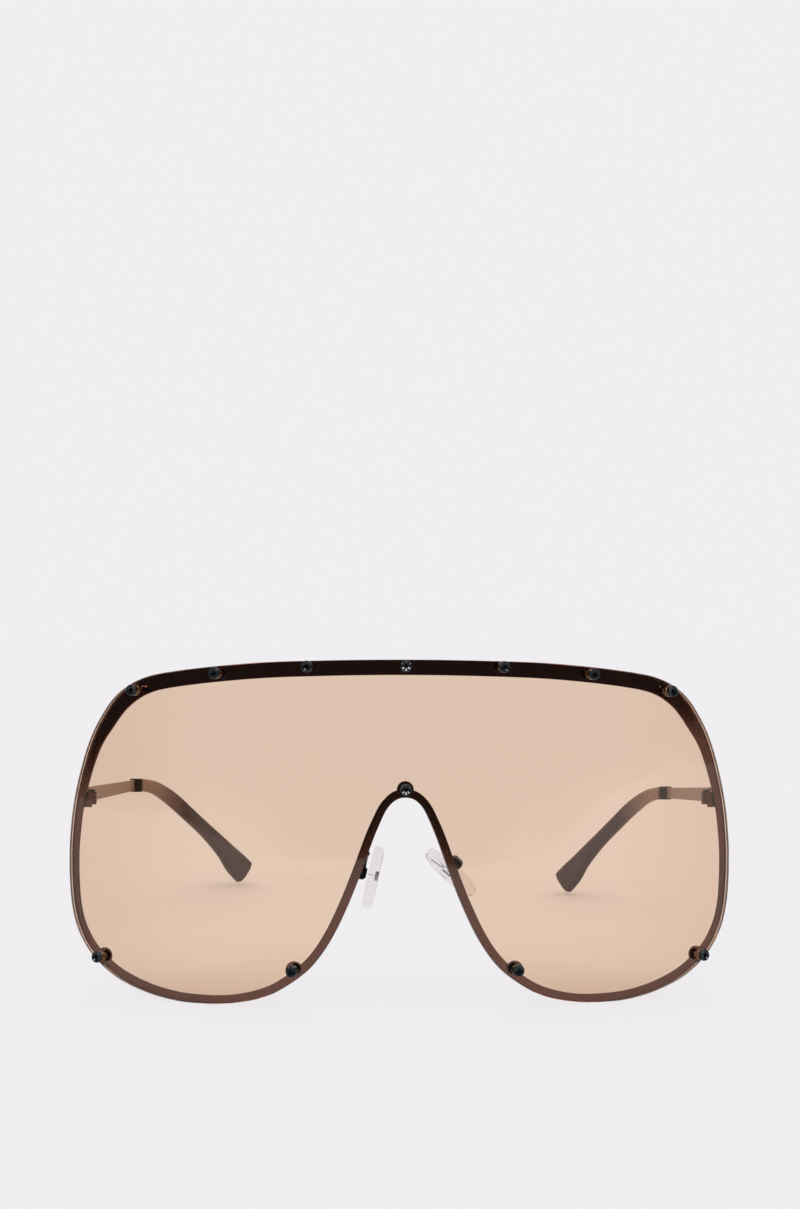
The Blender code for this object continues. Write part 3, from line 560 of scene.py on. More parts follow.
def build_lens(half, places):
    """A wrapped sheet with a rounded edge and drilled holes."""
    loop = full_loop(half)
    inward = inward_of(loop)[: len(half)]
    inward[0], inward[-1] = (0, -1), (0, 1)
    inset = half[:, :2] + inward * LENS_ROUND
    far = int(np.argmax(inset[:, 0]))
    upper, lower = slice(0, far + 1), slice(len(half) - 1, far - 1, -1)
    wanted = sorted(u for u in inset[:, 0] if u < inset[far, 0] - SEAT_GAP)
    kept = [0.0]
    for u in wanted:
        if u - kept[-1] > SEAT_GAP:
            kept.append(float(u))
    rim = [(LENS_ROUND - x, y) for x, y in quarter(LENS_ROUND)]
    profile = rim + [(out, LENS_THICKNESS - depth) for out, depth in rim[::-1]]
    rows = (inset[:, 1], *inward.T)

    def edge_at(u, chain):
        z, nu, nz = (float(np.interp(abs(u), inset[chain, 0], row[chain])) for row in rows)
        if u < 0:
            nu = -nu
        return [(u - nu * out, depth, z - nz * out) for out, depth in profile]

    def tip(sign):
        u, z = inset[far]
        return [(sign * (u + out), depth, z) for out, depth in profile]

    columns = [-u for u in kept[:0:-1]] + kept
    rings = [tip(-1)] + [edge_at(u, upper) for u in columns]
    rings += [tip(1)] + [edge_at(u, lower) for u in columns[::-1]]
    shape = Shape()
    count, width = len(profile), len(columns)
    points = [p for ring in rings for p in ring]
    faces = []
    for i in range(len(rings)):
        here, there = i * count, (i + 1) % len(rings) * count
        faces += [(here + j, here + j + 1, there + j + 1, there + j) for j in range(count - 1)]
    for j in (0, count - 1):
        high = [(1 + i) * count + j for i in range(width)]
        low = [(2 * width + 1 - i) * count + j for i in range(width)]
        faces += [(high[i], high[i + 1], low[i + 1], low[i]) for i in range(width - 1)]
        faces.append((j, high[0], low[0]))
        faces.append((high[-1], (width + 1) * count + j, low[-1]))
    shape.add(points, faces)
    holes = Shape()
    for u, z in places:
        turn = Matrix.Translation((u, 0, z)) @ turned(-90, "X")
        holes.rod(SHANK_DIAMETER + 2 * HOLE_GAP, -CUT_OVERRUN, LENS_THICKNESS + CUT_OVERRUN, place=turn)
    shape.cut(holes)
    ground = shape.mesh.faces.layers.float.new(RIM)
    for face in shape.mesh.faces:
        face[ground] = float(abs(face.normal.y) < RIM_LEAN)
    shape.bent()
    shape.piece("lens_glass", "lens", smooth=False)


def build_band(half, places):
    """The metal ring behind the lens, with its round tabs."""
    loop = full_loop(half)
    inward = inward_of(loop)
    shape = Shape()
    rings = []
    for (u, z, width), (nu, nz) in zip(loop, inward):
        section = rounded_corners((0, BAND_NEAR), (width, BAND_FAR), BAND_ROUND)
        rings.append([bend(u + nu * share, z + nz * share, depth) for share, depth in section])
    shape.loft(rings, loop=True)
    low, high = -BAND_FAR - TAB_PROUD, -BAND_NEAR + TAB_PROUD
    for place in places[len(TOP_SCREW_SHARES) * 2 - 1 :]:
        shape.rod(TAB_DIAMETER, low, high, TAB_ROUND, on_lens(*place))
    shape.piece("band_metal", "front_frame")


def build_screws(places):
    """Each lens screw with its clear bushing."""
    seat = BUSHING_THICKNESS + 2 * SEAT_GAP
    top = seat + HEAD_HEIGHT
    tail = BAND_FAR + TAB_PROUD + SHANK_TAIL
    radius = HEAD_DIAMETER / 2
    mouth = SOCKET_DIAMETER * SOCKET_CORNER_SHARE
    head = [(radius - x, top - y) for x, y in quarter(HEAD_ROUND)][::-1]
    shank = SHANK_DIAMETER / 2
    end = [(shank - x, y - tail) for x, y in quarter(SHANK_TAIL / 2)]
    profile = end + [
        (shank, seat),
        (radius - SOCKET_CHAMFER, seat),
        (radius, seat + SOCKET_CHAMFER),
        *head,
        (mouth, top - DISH_DEPTH, True),
        (mouth, top - SOCKET_DEPTH, True),
        (mouth / 2, top - SOCKET_DEPTH - SOCKET_CHAMFER),
    ]
    inner = (shank + HOLE_GAP, SEAT_GAP)
    outer = (BUSHING_DIAMETER / 2, SEAT_GAP + BUSHING_THICKNESS)
    ring = rounded_corners(inner, outer, BUSHING_ROUND)
    for i, place in enumerate(places, 1):
        shape = Shape()
        shape.turn(profile, place=on_lens(*place))
        shape.piece(f"socket_screw_{i:02d}", f"lens_screw_{i:02d}")
        shape = Shape()
        shape.turn(ring, loop=True, place=on_lens(*place))
        shape.piece(f"clear_washer_{i:02d}", f"lens_bushing_{i:02d}")


def slotted(shape, head, top, place):
    """Cuts a driver slot across a small screw's head."""
    tool = Shape()
    tool.slab(head, head * SLOT_WIDTH_SHARE, top - head * SLOT_DEPTH_SHARE, top + head, place=place)
    shape.cut(tool)


def build_hinge(word, side):
    """End piece, screw and temple leaf of one hinge. Returns the leaf's shape, still unturned."""
    low = HINGE_UP - BARREL_HEIGHT / 2
    high = HINGE_UP + BARREL_HEIGHT / 2
    middle = BARREL_HEIGHT * MIDDLE_BARREL_SHARE / 2
    under, over = HINGE_UP - middle, HINGE_UP + middle
    at = Matrix.Translation((side * HINGE_X, HINGE_BACK, 0))
    arc, half_width = side * END_ARC, END_PLATE_WIDTH / 2
    shape = Shape()
    shape.block(
        (arc - half_width, BAND_FAR + SEAT_GAP, high - END_PLATE_HEIGHT),
        (arc + half_width, BAND_FAR + END_PLATE_THICKNESS, high), PLATE_ROUND)
    shape.bent()
    depth = LENS_RADIUS - BAND_FAR - END_PLATE_THICKNESS / 2
    span = (HINGE_X, HINGE_X + END_WEB_THICKNESS)
    foot = [(x, LENS_RADIUS - math.sqrt(depth**2 - x**2)) for x in span]
    foot += [(x, HINGE_BACK) for x in span[::-1]]
    room = BARREL_DIAMETER / 2 + SWING_GAP
    for start, end in ((low + SEAT_GAP, under - BARREL_GAP), (over + BARREL_GAP, high - SEAT_GAP)):
        web = Shape()
        web.loft([[(side * x, y, z) for x, y in foot] for z in (start, end)])
        web.soften(BARREL_GAP)
        shape.take(web)
        shape.rod(BARREL_DIAMETER, start, end, BARREL_ROUND / 2, place=at)
    bridge = Shape()
    near = HINGE_BACK - room
    sides = sorted(side * x for x in span)
    bridge.block((sides[0], foot[0][1], under - SWING_GAP), (sides[1], near, over + SWING_GAP))
    shape.take(bridge)
    shape.piece(f"hinge_end_{word}", f"end_piece_{word}")

    shape = Shape()
    pin, head, tall = HINGE_PIN_DIAMETER / 2, HINGE_HEAD_DIAMETER / 2, HINGE_HEAD_HEIGHT
    seat = high + SEAT_GAP
    rim = seat + tall
    rows = [(pin, low), (pin, seat), (head, seat), (head, rim - tall / 2)]
    shape.turn([*rows, (head - tall / 6, rim - tall / 5), (pin, rim)], place=at)
    slotted(shape, head, rim, at)
    shape.piece(f"hinge_pin_{word}", f"hinge_screw_{word}")

    leaf = Shape()
    leaf.rod(BARREL_DIAMETER, under, over, BARREL_ROUND / 2, place=at)
    sides = sorted(side * (HINGE_X + TEMPLE_OFFSET - SEAT_GAP - way * LEAF_THICKNESS) for way in (0, 1))
    start = HINGE_BACK + room
    leaf.block(
        (sides[0], HINGE_BACK + HINGE_PIN_DIAMETER, under + SEAT_GAP),
        (sides[1], start + SWING_GAP, over - SEAT_GAP))
    leaf.block(
        (sides[0], start, HINGE_UP - LEAF_HEIGHT / 2),
        (sides[1], HINGE_BACK + LEAF_LENGTH, HINGE_UP + LEAF_HEIGHT / 2), PLATE_ROUND)
    return leaf


def sleeve_rings(side, inset, spot):
    """Sections through a tip sleeve, from its rounded start to its slanted end."""
    sizes = (TIP_REACH, inset, TIP_DROP, TIP_HEIGHT, TIP_HEIGHT, TIP_THICKNESS, TIP_HEIGHT)
    path = evenly(spline(np.array(TIP_SHARES) * sizes, SPLINE_STEPS), TIP_STEPS)
    middle = TEMPLE_OFFSET + TEMPLE_THICKNESS / 2 - TIP_SET_IN
    edge = squarish(TIP_SQUARENESS, TIP_SIDES, 0.5)
    rings = []
    for i, row in enumerate(path):
        before, after = path[max(i - 1, 0)], path[min(i + 1, len(path) - 1)]
        way = after[:3] - before[:3]
        ahead = Vector((-side * way[1], way[0], -way[2])).normalized()
        scales = [(1, 0)]
        if i == 0:
            ahead = Vector((0, 1, 0))
            scales = [(1 - x / TIP_THICKNESS, y) for x, y in quarter(PLATE_ROUND)]
        if i == len(path) - 1:
            scales += [(shrink, push * TIP_HEIGHT) for shrink, push in TIP_END_SHARES]
        out = ahead.cross(Vector((0, 0, 1))).normalized()
        up = out.cross(ahead)
        centre = spot(TEMPLE_LENGTH + row[0], middle - row[1], TEMPLE_RAISE - row[2])
        mid = (row[3] - row[4]) / 2
        tall = (row[3] + row[4]) / 2
        for shrink, push in scales:
            ring = []
            for x, y in edge:
                high = mid + shrink * tall * y
                slant = -row[6] * high / tall
                ring.append(centre + up * high + out * shrink * row[5] * x + ahead * (push + slant))
            rings.append(ring)
    return rings


def build_temple(word, side, slope_deg, inset):
    """Leaf, band, collar, screw and tip sleeve of one temple."""
    leaf = build_hinge(word, side)
    inner = TEMPLE_OFFSET
    outer = TEMPLE_OFFSET + TEMPLE_THICKNESS
    rise = TEMPLE_RAISE
    hub = Vector((side * HINGE_X, HINGE_BACK, HINGE_UP))
    turn = turned(TEMPLE_TOE_DEG * side - TEMPLE_SKEW_DEG, "Z")
    to_hub, from_hub = Matrix.Translation(hub), Matrix.Translation(-hub)
    place = to_hub @ turn @ turned(-slope_deg, "X") @ from_hub
    leaf.piece(f"hinge_leaf_{word}", f"temple_hinge_{word}", to_hub @ turn @ from_hub)

    def spot(along, out, up):
        return Vector((side * (HINGE_X + out), HINGE_BACK + along, HINGE_UP + up))

    def section(along, height, grow, round_by):
        low = (inner - grow, -height / 2 - grow)
        high = (outer + grow, height / 2 + grow)
        return [spot(along, out, rise + up) for out, up in rounded_corners(low, high, round_by)]

    tip_start = TEMPLE_LENGTH
    collar_start = tip_start - COLLAR_LENGTH - SEAT_GAP
    end = collar_start - SEAT_GAP
    shape = Shape()
    soft, fine = TEMPLE_ROUND, TENON_STEP
    shape.loft([
        section(TEMPLE_START, TEMPLE_HEIGHT, -soft, fine),
        section(TEMPLE_START + soft / 3, TEMPLE_HEIGHT, -soft / 3, soft),
        section(TEMPLE_START + soft, TEMPLE_HEIGHT, 0, soft),
        section(end, TEMPLE_END_HEIGHT, 0, soft),
        section(end, TEMPLE_END_HEIGHT, -fine, fine),
        section(tip_start - SEAT_GAP, TEMPLE_END_HEIGHT, -fine, fine),
        section(tip_start - SEAT_GAP, TONGUE_HEIGHT, -fine, fine),
        section(tip_start + TONGUE_LENGTH, TONGUE_HEIGHT, -fine, fine),
    ])
    shape.piece(f"temple_strip_{word}", f"temple_band_{word}", place)

    shape = Shape()
    ends = sorted((side * (HINGE_X + inner - COLLAR_INWARD), side * (HINGE_X + outer + COLLAR_OUTWARD)))
    near, middle_up = HINGE_BACK + collar_start, HINGE_UP + rise
    shape.block(
        (ends[0], near, middle_up - COLLAR_HEIGHT / 2),
        (ends[1], near + COLLAR_LENGTH, middle_up + COLLAR_HEIGHT / 2), COLLAR_ROUND)
    shape.piece(f"temple_collar_{word}", f"collar_{word}", place)

    face = spot(collar_start + COLLAR_LENGTH / 2, inner - COLLAR_INWARD, rise)
    inwards = Matrix.Translation(face) @ turned(-90 * side, "Y")
    across = inwards @ turned(COLLAR_SLOT_DEG, "Z")
    proud = COLLAR_SCREW_PROUD
    shape = Shape()
    shape.rod(COLLAR_SCREW_DIAMETER, -COLLAR_SCREW_DEPTH, proud, proud / 2, inwards)
    slotted(shape, COLLAR_SCREW_DIAMETER / 2, proud, across)
    shape.piece(f"collar_pin_{word}", f"collar_screw_{word}", place)

    shape = Shape()
    shape.loft(sleeve_rings(side, inset, spot))
    shape.piece(f"tip_sleeve_{word}", f"tip_{word}", place)


def build_pad(word, half, side, box, splay_deg, turn_deg, slide, arm_up, weld_share):
    """Arm, box, pin, core and pad of one side; the pad's axes are X across, Y along, Z to the nose."""
    centre = Vector((side * box[0], box[1], box[2]))
    splay = math.radians(splay_deg)
    along = Vector((-side * math.sin(splay), 0, math.cos(splay)))
    face = Vector((-side * math.cos(splay), 0, -math.sin(splay)))
    axes = Matrix((along.cross(face), along, face)).transposed().to_4x4()
    at = Matrix.Translation(centre) @ axes @ turned(turn_deg * side, "Y")

    floor = -EYE_DIAMETER / 2 - BARREL_GAP
    half_box, half_slot, half_long = BOX_WIDTH / 2, BOX_SLOT / 2, BOX_LENGTH / 2
    near_end = half_long - BOX_CUT
    rings = []
    for y, cut in ((-half_long, BOX_CUT), (-near_end, 0), (near_end, 0), (half_long, BOX_CUT)):
        back, low, top = cut - BOX_BACK, floor + cut, BOX_FRONT - cut
        section = [
            (-half_box, back), (half_box, back), (half_box, top), (half_slot, top),
            (half_slot, low), (-half_slot, low), (-half_slot, top), (-half_box, top)]
        rings.append([(x, y, z) for x, z in section])
    shape = Shape()
    shape.loft(rings)
    shape.soften(BOX_ROUND / 2)
    shape.piece(f"pad_cage_{word}", f"pad_box_{word}", at)

    across = turned(90, "Y")
    half_pin = BOX_WIDTH / 2 + BOX_ROUND
    shape = Shape()
    shape.rod(PAD_PIN_DIAMETER, -half_pin, half_pin, BOX_ROUND / 2, place=across)
    slotted(shape, PAD_PIN_DIAMETER / 2, half_pin, across)
    shape.piece(f"pad_rivet_{word}", f"pad_pin_{word}", at)

    edge = squarish(PAD_SQUARENESS, PAD_SIDES)
    rings = []
    for level, scale in evenly(spline(PAD_LEVEL_SHARES, SPLINE_STEPS // 2), PAD_LEVELS, 2):
        wide, tall = PAD_WIDTH / 2 * scale, PAD_LENGTH / 2 * scale
        depth = PAD_STANDOFF + level * PAD_THICKNESS
        rings.append([(wide * x, tall * y - slide, depth) for x, y in edge])
    shape = Shape()
    shape.loft(rings)
    back = PAD_STANDOFF - PAD_THICKNESS / 2
    deep = back + CORE_DEPTH_SHARE * PAD_THICKNESS
    middle, near = deep - CORE_THICKNESS / 2, deep - CORE_THICKNESS
    stem_half = BOX_SLOT / 2 - BARREL_GAP
    neck = stem_half * CORE_NECK_SHARE
    wide, tall, gap = CORE_WIDTH / 2, CORE_LENGTH / 2, SEAT_GAP
    rooms = ((neck, neck, back - CUT_OVERRUN, middle), (wide, tall, near - gap, deep + gap))
    for half_x, half_y, low, high in rooms:
        tool = Shape()
        tool.slab(half_x + gap, half_y + gap, low, high)
        shape.cut(tool)
    shape.piece(f"pad_gel_{word}", f"nose_pad_{word}", at)

    shape = Shape()
    shape.slab(wide, tall, near, deep, CORE_THICKNESS / 4)
    shape.slab(neck, neck, 0, middle)
    shape.rod(EYE_DIAMETER, SEAT_GAP - stem_half, stem_half - SEAT_GAP, BARREL_GAP, place=across)
    shape.piece(f"pad_plate_{word}", f"pad_core_{word}", at)

    flank = half[int(np.argmin(half[:, 1])) :]
    edge, width = (float(np.interp(arm_up, flank[:, 1], flank[:, i])) for i in (0, 2))
    weld = bend(side * (edge + width * weld_share), arm_up, BAND_FAR + SEAT_GAP)
    build_wire(word, side, weld, at)


def build_wire(word, side, start, at):
    """A bent wire from the back of the band to the upper end of the pad box."""
    end = at @ Vector((0, BOX_LENGTH / 2 + SEAT_GAP, 0))
    lead = at @ Vector((0, BOX_LENGTH / 2 + PAD_ARM_LEAD, 0))
    back = Vector((0, 1, 0))
    bow = (start, start + back * (end.y - start.y) * PAD_ARM_LEAD_SHARE, lead, end)
    path = [Vector(p) for p in evenly(spline(bow, SPLINE_STEPS), PAD_ARM_STEPS)]
    radius = PAD_ARM_DIAMETER / 2
    edge = squarish(2, PAD_ARM_SIDES)
    out = Vector((side, 0, 0))
    rings = []
    for i, centre in enumerate(path):
        ahead = (path[min(i + 1, len(path) - 1)] - path[max(i - 1, 0)]).normalized()
        caps = [(radius, 0)]
        if i == 0:
            ahead = back
        if i == len(path) - 1:
            caps = [(radius / 2 + inset, push) for inset, push in quarter(radius / 2)]
        out = (out - ahead * out.dot(ahead)).normalized()
        up = ahead.cross(out)
        for size, push in caps:
            rings.append([centre + ahead * push + (out * x + up * y) * size for x, y in edge])
    shape = Shape()
    shape.loft(rings)
    shape.piece(f"pad_wire_{word}", f"pad_arm_{word}")


class Nodes:
    """Helpers for a node tree. A value is a socket to link, or a plain constant to set."""

    def __init__(self, tree):
        self.tree = tree

    def feed(self, socket, value):
        if isinstance(value, bpy.types.NodeSocket):
            self.tree.links.new(value, socket)
        else:
            socket.default_value = value

    def new(self, kind, feeds=None, **settings):
        """A node with its settings, then with its sockets fed by name or number."""
        node = self.tree.nodes.new("ShaderNode" + kind)
        for name, value in settings.items():
            setattr(node, name, value)
        for socket, value in (feeds or {}).items():
            self.feed(node.inputs[socket], value)
        return node

    def place(self, output):
        """X, Y and Z of a coordinate output."""
        return self.new("SeparateXYZ", {0: self.new("TexCoord").outputs[output]}).outputs

    def math(self, kind, first, second=0.0):
        return self.new("Math", {0: first, 1: second}, operation=kind).outputs[0]

    def line(self, value, low, high, to_low=0.0, to_high=1.0, kind="LINEAR"):
        """From one span of values to another, held at its ends."""
        feeds = {"Value": value, "From Min": low, "From Max": high, "To Min": to_low, "To Max": to_high}
        return self.new("MapRange", feeds, interpolation_type=kind).outputs["Result"]

    def step(self, *row):
        """As line, with soft ends."""
        return self.line(*row, kind="SMOOTHSTEP")

    def ramp(self, value, *stops):
        """Colours at shares of a value."""
        node = self.new("ValToRGB", {"Fac": value})
        while len(node.color_ramp.elements) < len(stops):
            node.color_ramp.elements.new(0.5)
        for element, (place, colour) in zip(node.color_ramp.elements, stops):
            element.position = place
            element.color = (*colour, 1)
        return node.outputs["Color"]


class Look(Nodes):
    """The Principled material of one slot, with helpers for its procedural detail."""

    def __init__(self, slot, **sockets):
        made = bpy.data.materials.new(slot)
        made.use_nodes = True
        MATERIALS[slot] = made
        super().__init__(made.node_tree)
        self.shader = self.tree.nodes["Principled BSDF"]
        self.coords = self.new("TexCoord").outputs["Object"]
        for socket, value in sockets.items():
            self.drive(socket.replace("_", " "), value)

    def drive(self, socket, value):
        self.feed(self.shader.inputs[socket], value)

    def noise(self, per_metre, detail=3, stretch=(1, 1, 1), roughness=0.5):
        """Noise from 0 to 1 with this many cells to the metre."""
        mapping = self.new("Mapping", {"Scale": stretch, "Vector": self.coords})
        feeds = {"Vector": mapping.outputs["Vector"], "Scale": per_metre, "Detail": detail}
        return self.new("TexNoise", {**feeds, "Roughness": roughness}).outputs["Fac"]

    def mottle(self, value, first, second, low=0.3, high=0.7):
        """From one colour to another with a noise's value."""
        return self.ramp(value, (low, first), (high, second))

    def rough(self, value, first, second, low=0.3, high=0.7):
        """Roughness that follows a noise's value."""
        self.drive("Roughness", self.line(value, low, high, first, second))

    def bump(self, value, height, strength):
        """Grain of this height, in metres."""
        node = self.new("Bump", {"Height": value, "Distance": height, "Strength": strength})
        self.drive("Normal", node.outputs["Normal"])

    def blend(self, factor, first, second, kind="MIX"):
        node = self.new("Mix", data_type="RGBA", blend_type=kind)
        colours = [socket for socket in node.inputs if socket.type == "RGBA"]
        for socket, value in zip((node.inputs["Factor"], *colours), (factor, first, second)):
            self.feed(socket, value)
        return next(socket for socket in node.outputs if socket.type == "RGBA")

    def worn_and_highlit_edges(self):
        """From 0 on flats to 1 on edges, where the rounded and the plain direction part; used to lighten
        edges as wear and as a painted highlight.
        """
        around = self.new("Bevel", {"Radius": WEAR_AND_HIGHLIGHT_RADIUS}, samples=4).outputs["Normal"]
        plain = self.new("NewGeometry").outputs["Normal"]
        match = self.new("VectorMath", {0: around, 1: plain}, operation="DOT_PRODUCT").outputs["Value"]
        return self.line(match, *WEAR_AND_HIGHLIGHT_MATCH)


def tinted(colour, factor):
    return tuple(min(1.0, c * factor) for c in colour)


def lens_look():
    """Clear peach plastic, a little denser towards its far sides, with ground edges."""
    look = Look("lens_tint", Transmission_Weight=1.0, Roughness=0.0, IOR=1.5)
    x, _, z = look.place("Object")
    low, middle, high = (0.915, 0.690, 0.515), (0.915, 0.698, 0.530), (0.915, 0.700, 0.535)
    # The tint deepens a little towards the bottom
    base = look.ramp(look.line(z, 0.0, TINT_REACH), (0.0, low), (0.35, middle), (0.8, high))
    cloud = look.mottle(look.noise(60, 2), (0.99, 0.99, 0.99), (1.0, 1.0, 1.0))
    base = look.blend(1.0, base, cloud, "MULTIPLY")
    clear, dense = (1.0, 1.0, 1.0), (0.935, 0.90, 0.88)
    across = look.line(x, -TINT_REACH, TINT_REACH)
    side = look.ramp(across, (0.03, dense), (0.19, clear), (0.81, clear), (0.97, tinted(dense, 1.015)))
    base = look.blend(1.0, base, side, "MULTIPLY")
    rim = look.new("Attribute", attribute_name=RIM).outputs["Fac"]
    ground = look.mottle(look.noise(900, 2), (0.90, 0.70, 0.58), (0.95, 0.76, 0.64))
    look.drive("Base Color", look.blend(rim, base, ground))
    look.rough(rim, 0.0, 0.45, 0.0, 1.0)


def arms_only(look):
    """1 on the pad arms and boxes, which lie behind the nose arch, and 0 elsewhere."""
    x, y, z = look.place("Object")
    behind = look.line(y, SHIFT.y + ARMS_BEHIND, SHIFT.y + ARMS_BEHIND * 1.2)
    below = look.line(z, ARMS_UNDER * 1.05, ARMS_UNDER)
    near = look.line(look.math("ABSOLUTE", x), ARMS_REACH * 1.1, ARMS_REACH)
    return look.math("MULTIPLY", look.math("MULTIPLY", behind, below), near)


def painted_look(slot, colour, roughness, wear_and_highlight, specular, metallic=0.0, bump=0.3, arms=False):
    """Dark plated or painted metal with a fine grain and rubbed edges, lighter as wear and as a painted
    edge highlight, and black arms if wanted.
    """
    look = Look(slot, Specular_IOR_Level=specular, Metallic=metallic)
    fine = look.noise(2600, 4)
    base = look.mottle(fine, tinted(colour, 0.9), tinted(colour, 1.1))
    if arms:
        black = look.mottle(fine, tinted(ARM_BLACK, 0.9), tinted(ARM_BLACK, 1.1))
        base = look.blend(arms_only(look), base, black)
    # Edge colours: rubbed metal and a painted edge highlight in one
    bare_and_highlit = (tinted(colour, share) for share in (wear_and_highlight, wear_and_highlight * 1.4))
    rubbed_and_highlit = look.mottle(look.noise(900, 3), *bare_and_highlit, 0.35, 0.75)
    look.drive("Base Color", look.blend(look.worn_and_highlit_edges(), base, rubbed_and_highlit))
    look.rough(look.noise(1400, 3), roughness * 0.85, roughness * 1.15)
    look.bump(fine, 0.000002, bump)


def temple_look():
    """Satin brown metal with fine lines drawn along it, and edges lighter as wear and as a painted
    highlight.
    """
    look = Look("temple_metal", Metallic=0.7, Specular_IOR_Level=0.4)
    lines = look.noise(5200, 3, (1.0, 0.025, 1.0), 0.6)
    base = look.mottle(lines, (0.46, 0.31, 0.24), (0.585, 0.405, 0.315), 0.25, 0.75)
    # Edge colour: rubbed metal and a painted edge highlight in one
    worn_and_highlit = look.mottle(look.noise(700, 3), (0.57, 0.41, 0.33), (0.67, 0.50, 0.41), 0.3, 0.8)
    look.drive("Base Color", look.blend(look.worn_and_highlit_edges(), base, worn_and_highlit))
    look.rough(lines, 0.32, 0.46, 0.2, 0.8)
    look.bump(lines, 0.000006, 0.2)


def tip_look(start):
    """Satin dark sleeve, with a painted sheen that makes it lighter where it meets the collar."""
    look = Look("tip_acetate", Specular_IOR_Level=0.25)
    cloud = look.noise(420, 4, (1, 0.5, 1))
    deep = look.mottle(cloud, (0.050, 0.027, 0.024), (0.066, 0.037, 0.033))
    # Painted sheen: the pale colour near the collar stands in for light off the sleeve's first bend
    pale = look.mottle(cloud, (0.325, 0.213, 0.170), (0.375, 0.250, 0.202))
    along = look.line(look.place("Object")["Y"], *(start + share for share in SLEEVE_SHEEN_FADE))
    look.drive("Base Color", look.blend(along, pale, deep))
    look.rough(look.noise(900, 3), 0.34, 0.44)
    look.bump(look.noise(2400, 3), 0.000005, 0.4)


def screw_look():
    """Glossy black steel with a cold cast and fine scuffs."""
    look = Look("screw_black", Specular_IOR_Level=0.5, Specular_Tint=(0.86, 0.94, 1.0, 1))
    base = look.mottle(look.noise(1800, 3), (0.004, 0.006, 0.007), (0.008, 0.013, 0.015))
    look.drive("Base Color", base)
    scuffs = look.noise(5200, 4, (1, 1, 3))
    look.rough(scuffs, 0.015, 0.045, 0.35, 0.75)
    look.bump(scuffs, 0.000002, 0.03)


def bushing_look():
    """Clear amber plastic, cloudy inside."""
    look = Look("bushing_clear", Transmission_Weight=0.95, IOR=1.49)
    look.drive("Base Color", look.mottle(look.noise(900, 3), (0.40, 0.18, 0.06), (0.54, 0.27, 0.11)))
    look.rough(look.noise(1800, 3), 0.03, 0.09)


def silicone_look():
    """Clear soft gel with a faint pink cast."""
    look = Look("pad_silicone", Transmission_Weight=0.95, IOR=1.09, Specular_IOR_Level=0.6)
    look.drive("Base Color", look.mottle(look.noise(500, 3), (0.91, 0.865, 0.855), (0.96, 0.92, 0.915)))
    look.rough(look.noise(1200, 3), 0.05, 0.10)
    look.bump(look.noise(1600, 2), 0.000004, 0.4)


def core_look():
    """Bright steel with fine lines."""
    look = Look("core_metal", Metallic=1.0)
    lines = look.noise(5200, 3, (1, 0.05, 1))
    look.drive("Base Color", look.mottle(lines, (0.42, 0.42, 0.44), (0.55, 0.55, 0.58)))
    look.rough(lines, 0.25, 0.38)
    look.bump(lines, 0.000004, 0.4)


# Backdrop and floor
BACKDROP = (0.870, 0.855, 0.880)
FLOOR_WHITE = (0.79, 0.777, 0.80)
FLOOR_CELLS = 500
FLOOR_HALF = 1.5
FLOOR_GLOW = 0.34
FLOOR_SHADE = 0.12
# Painted shade: a warm white for the lens's tinted shadow painted on the paper, and for the seam's dark
# line
PAINTED_SHADE_WHITE = (0.875, 0.795, 0.760)
LENS_SHADOW_REACH = 0.005
LENS_SHADOW_CURVE = 12.2
LENS_SHADOW_FADE = (-0.014, 0.004)
# Painted shade: a faint dark line along a seam behind the glasses
SEAM_BACK = 0.098
SEAM_WIDTH = 0.004
SEAM_SHADE = 0.08
PAPER_RISE = 0.0034
PAPER_RISE_AT = (-0.047, 0.082)
PAPER_RISE_WIDTH = 0.022

# Light: a dome, the brightness that gloss sees, and round lamps for glints
DOME_LOW = 0.60
DOME_HIGH = 1.14
DOME_RISE = (0.55, 0.95)
GLOSS_WHITE = 0.66
GLOSS_DARK = 0.065
GLOSS_BEHIND = (-0.12, 0.25)
GLOSS_OVERHEAD = (0.55, 0.80)
LAMPS = ((0.04, -0.735, 0.675), (0.60, -0.67, 0.43), (-0.53, -0.72, 0.44))
LAMP_WIDTH = 0.11
LAMP_STRENGTH = 18.0

# The floor's horizon as the lens mirrors it, across and up, and how much lower the band shows it
HORIZON = (
    (-0.93, -0.011), (-0.80, -0.002), (-0.73, 0.007), (-0.50, 0.0025), (-0.12, 0.0095),
    (0.30, 0.003), (0.52, 0.0025), (0.72, 0.016), (0.88, 0.014), (0.95, 0.0),
)
HORIZON_BLUR = 0.0016
LIFT_SCALE = 25
MIDDLE_LIFT = 0.019
MIDDLE_FADE = (0.30, 0.50)
SIDE_LIFT = 0.024
SIDE_FADE = (-0.75, -0.60)
FRONT_RISE = (0.01, 0.035)
FRONT_FADE = (-0.3, -0.1)


class Light(Nodes):
    """Helpers for the world's and the floor's light."""

    def glow(self, kind, colour, strength=1.0):
        return self.new(kind, {"Color": (*colour, 1), "Strength": strength}).outputs[0]

    def ray(self, kind):
        return self.new("LightPath").outputs[kind]

    def mix(self, factor, first, second):
        return self.new("MixShader", {0: factor, 1: first, 2: second}).outputs[0]

    def disc(self, towards):
        """A round lamp in this direction."""
        feeds = {0: self.new("TexCoord").outputs["Generated"], 1: towards}
        away = self.new("VectorMath", feeds, operation="DISTANCE").outputs["Value"]
        return self.step(away, LAMP_WIDTH * 0.8, LAMP_WIDTH, LAMP_STRENGTH, 0.0)

    def horizon(self, x):
        """Height of the mirrored horizon for a direction's X."""
        stops = [((across + 1) / 2, (lift * LIFT_SCALE + 0.5,) * 3) for across, lift in HORIZON]
        grey = self.ramp(self.line(x, -1.0, 1.0), *stops)
        return self.line(grey, 0.0, 1.0, -0.5 / LIFT_SCALE, 0.5 / LIFT_SCALE)


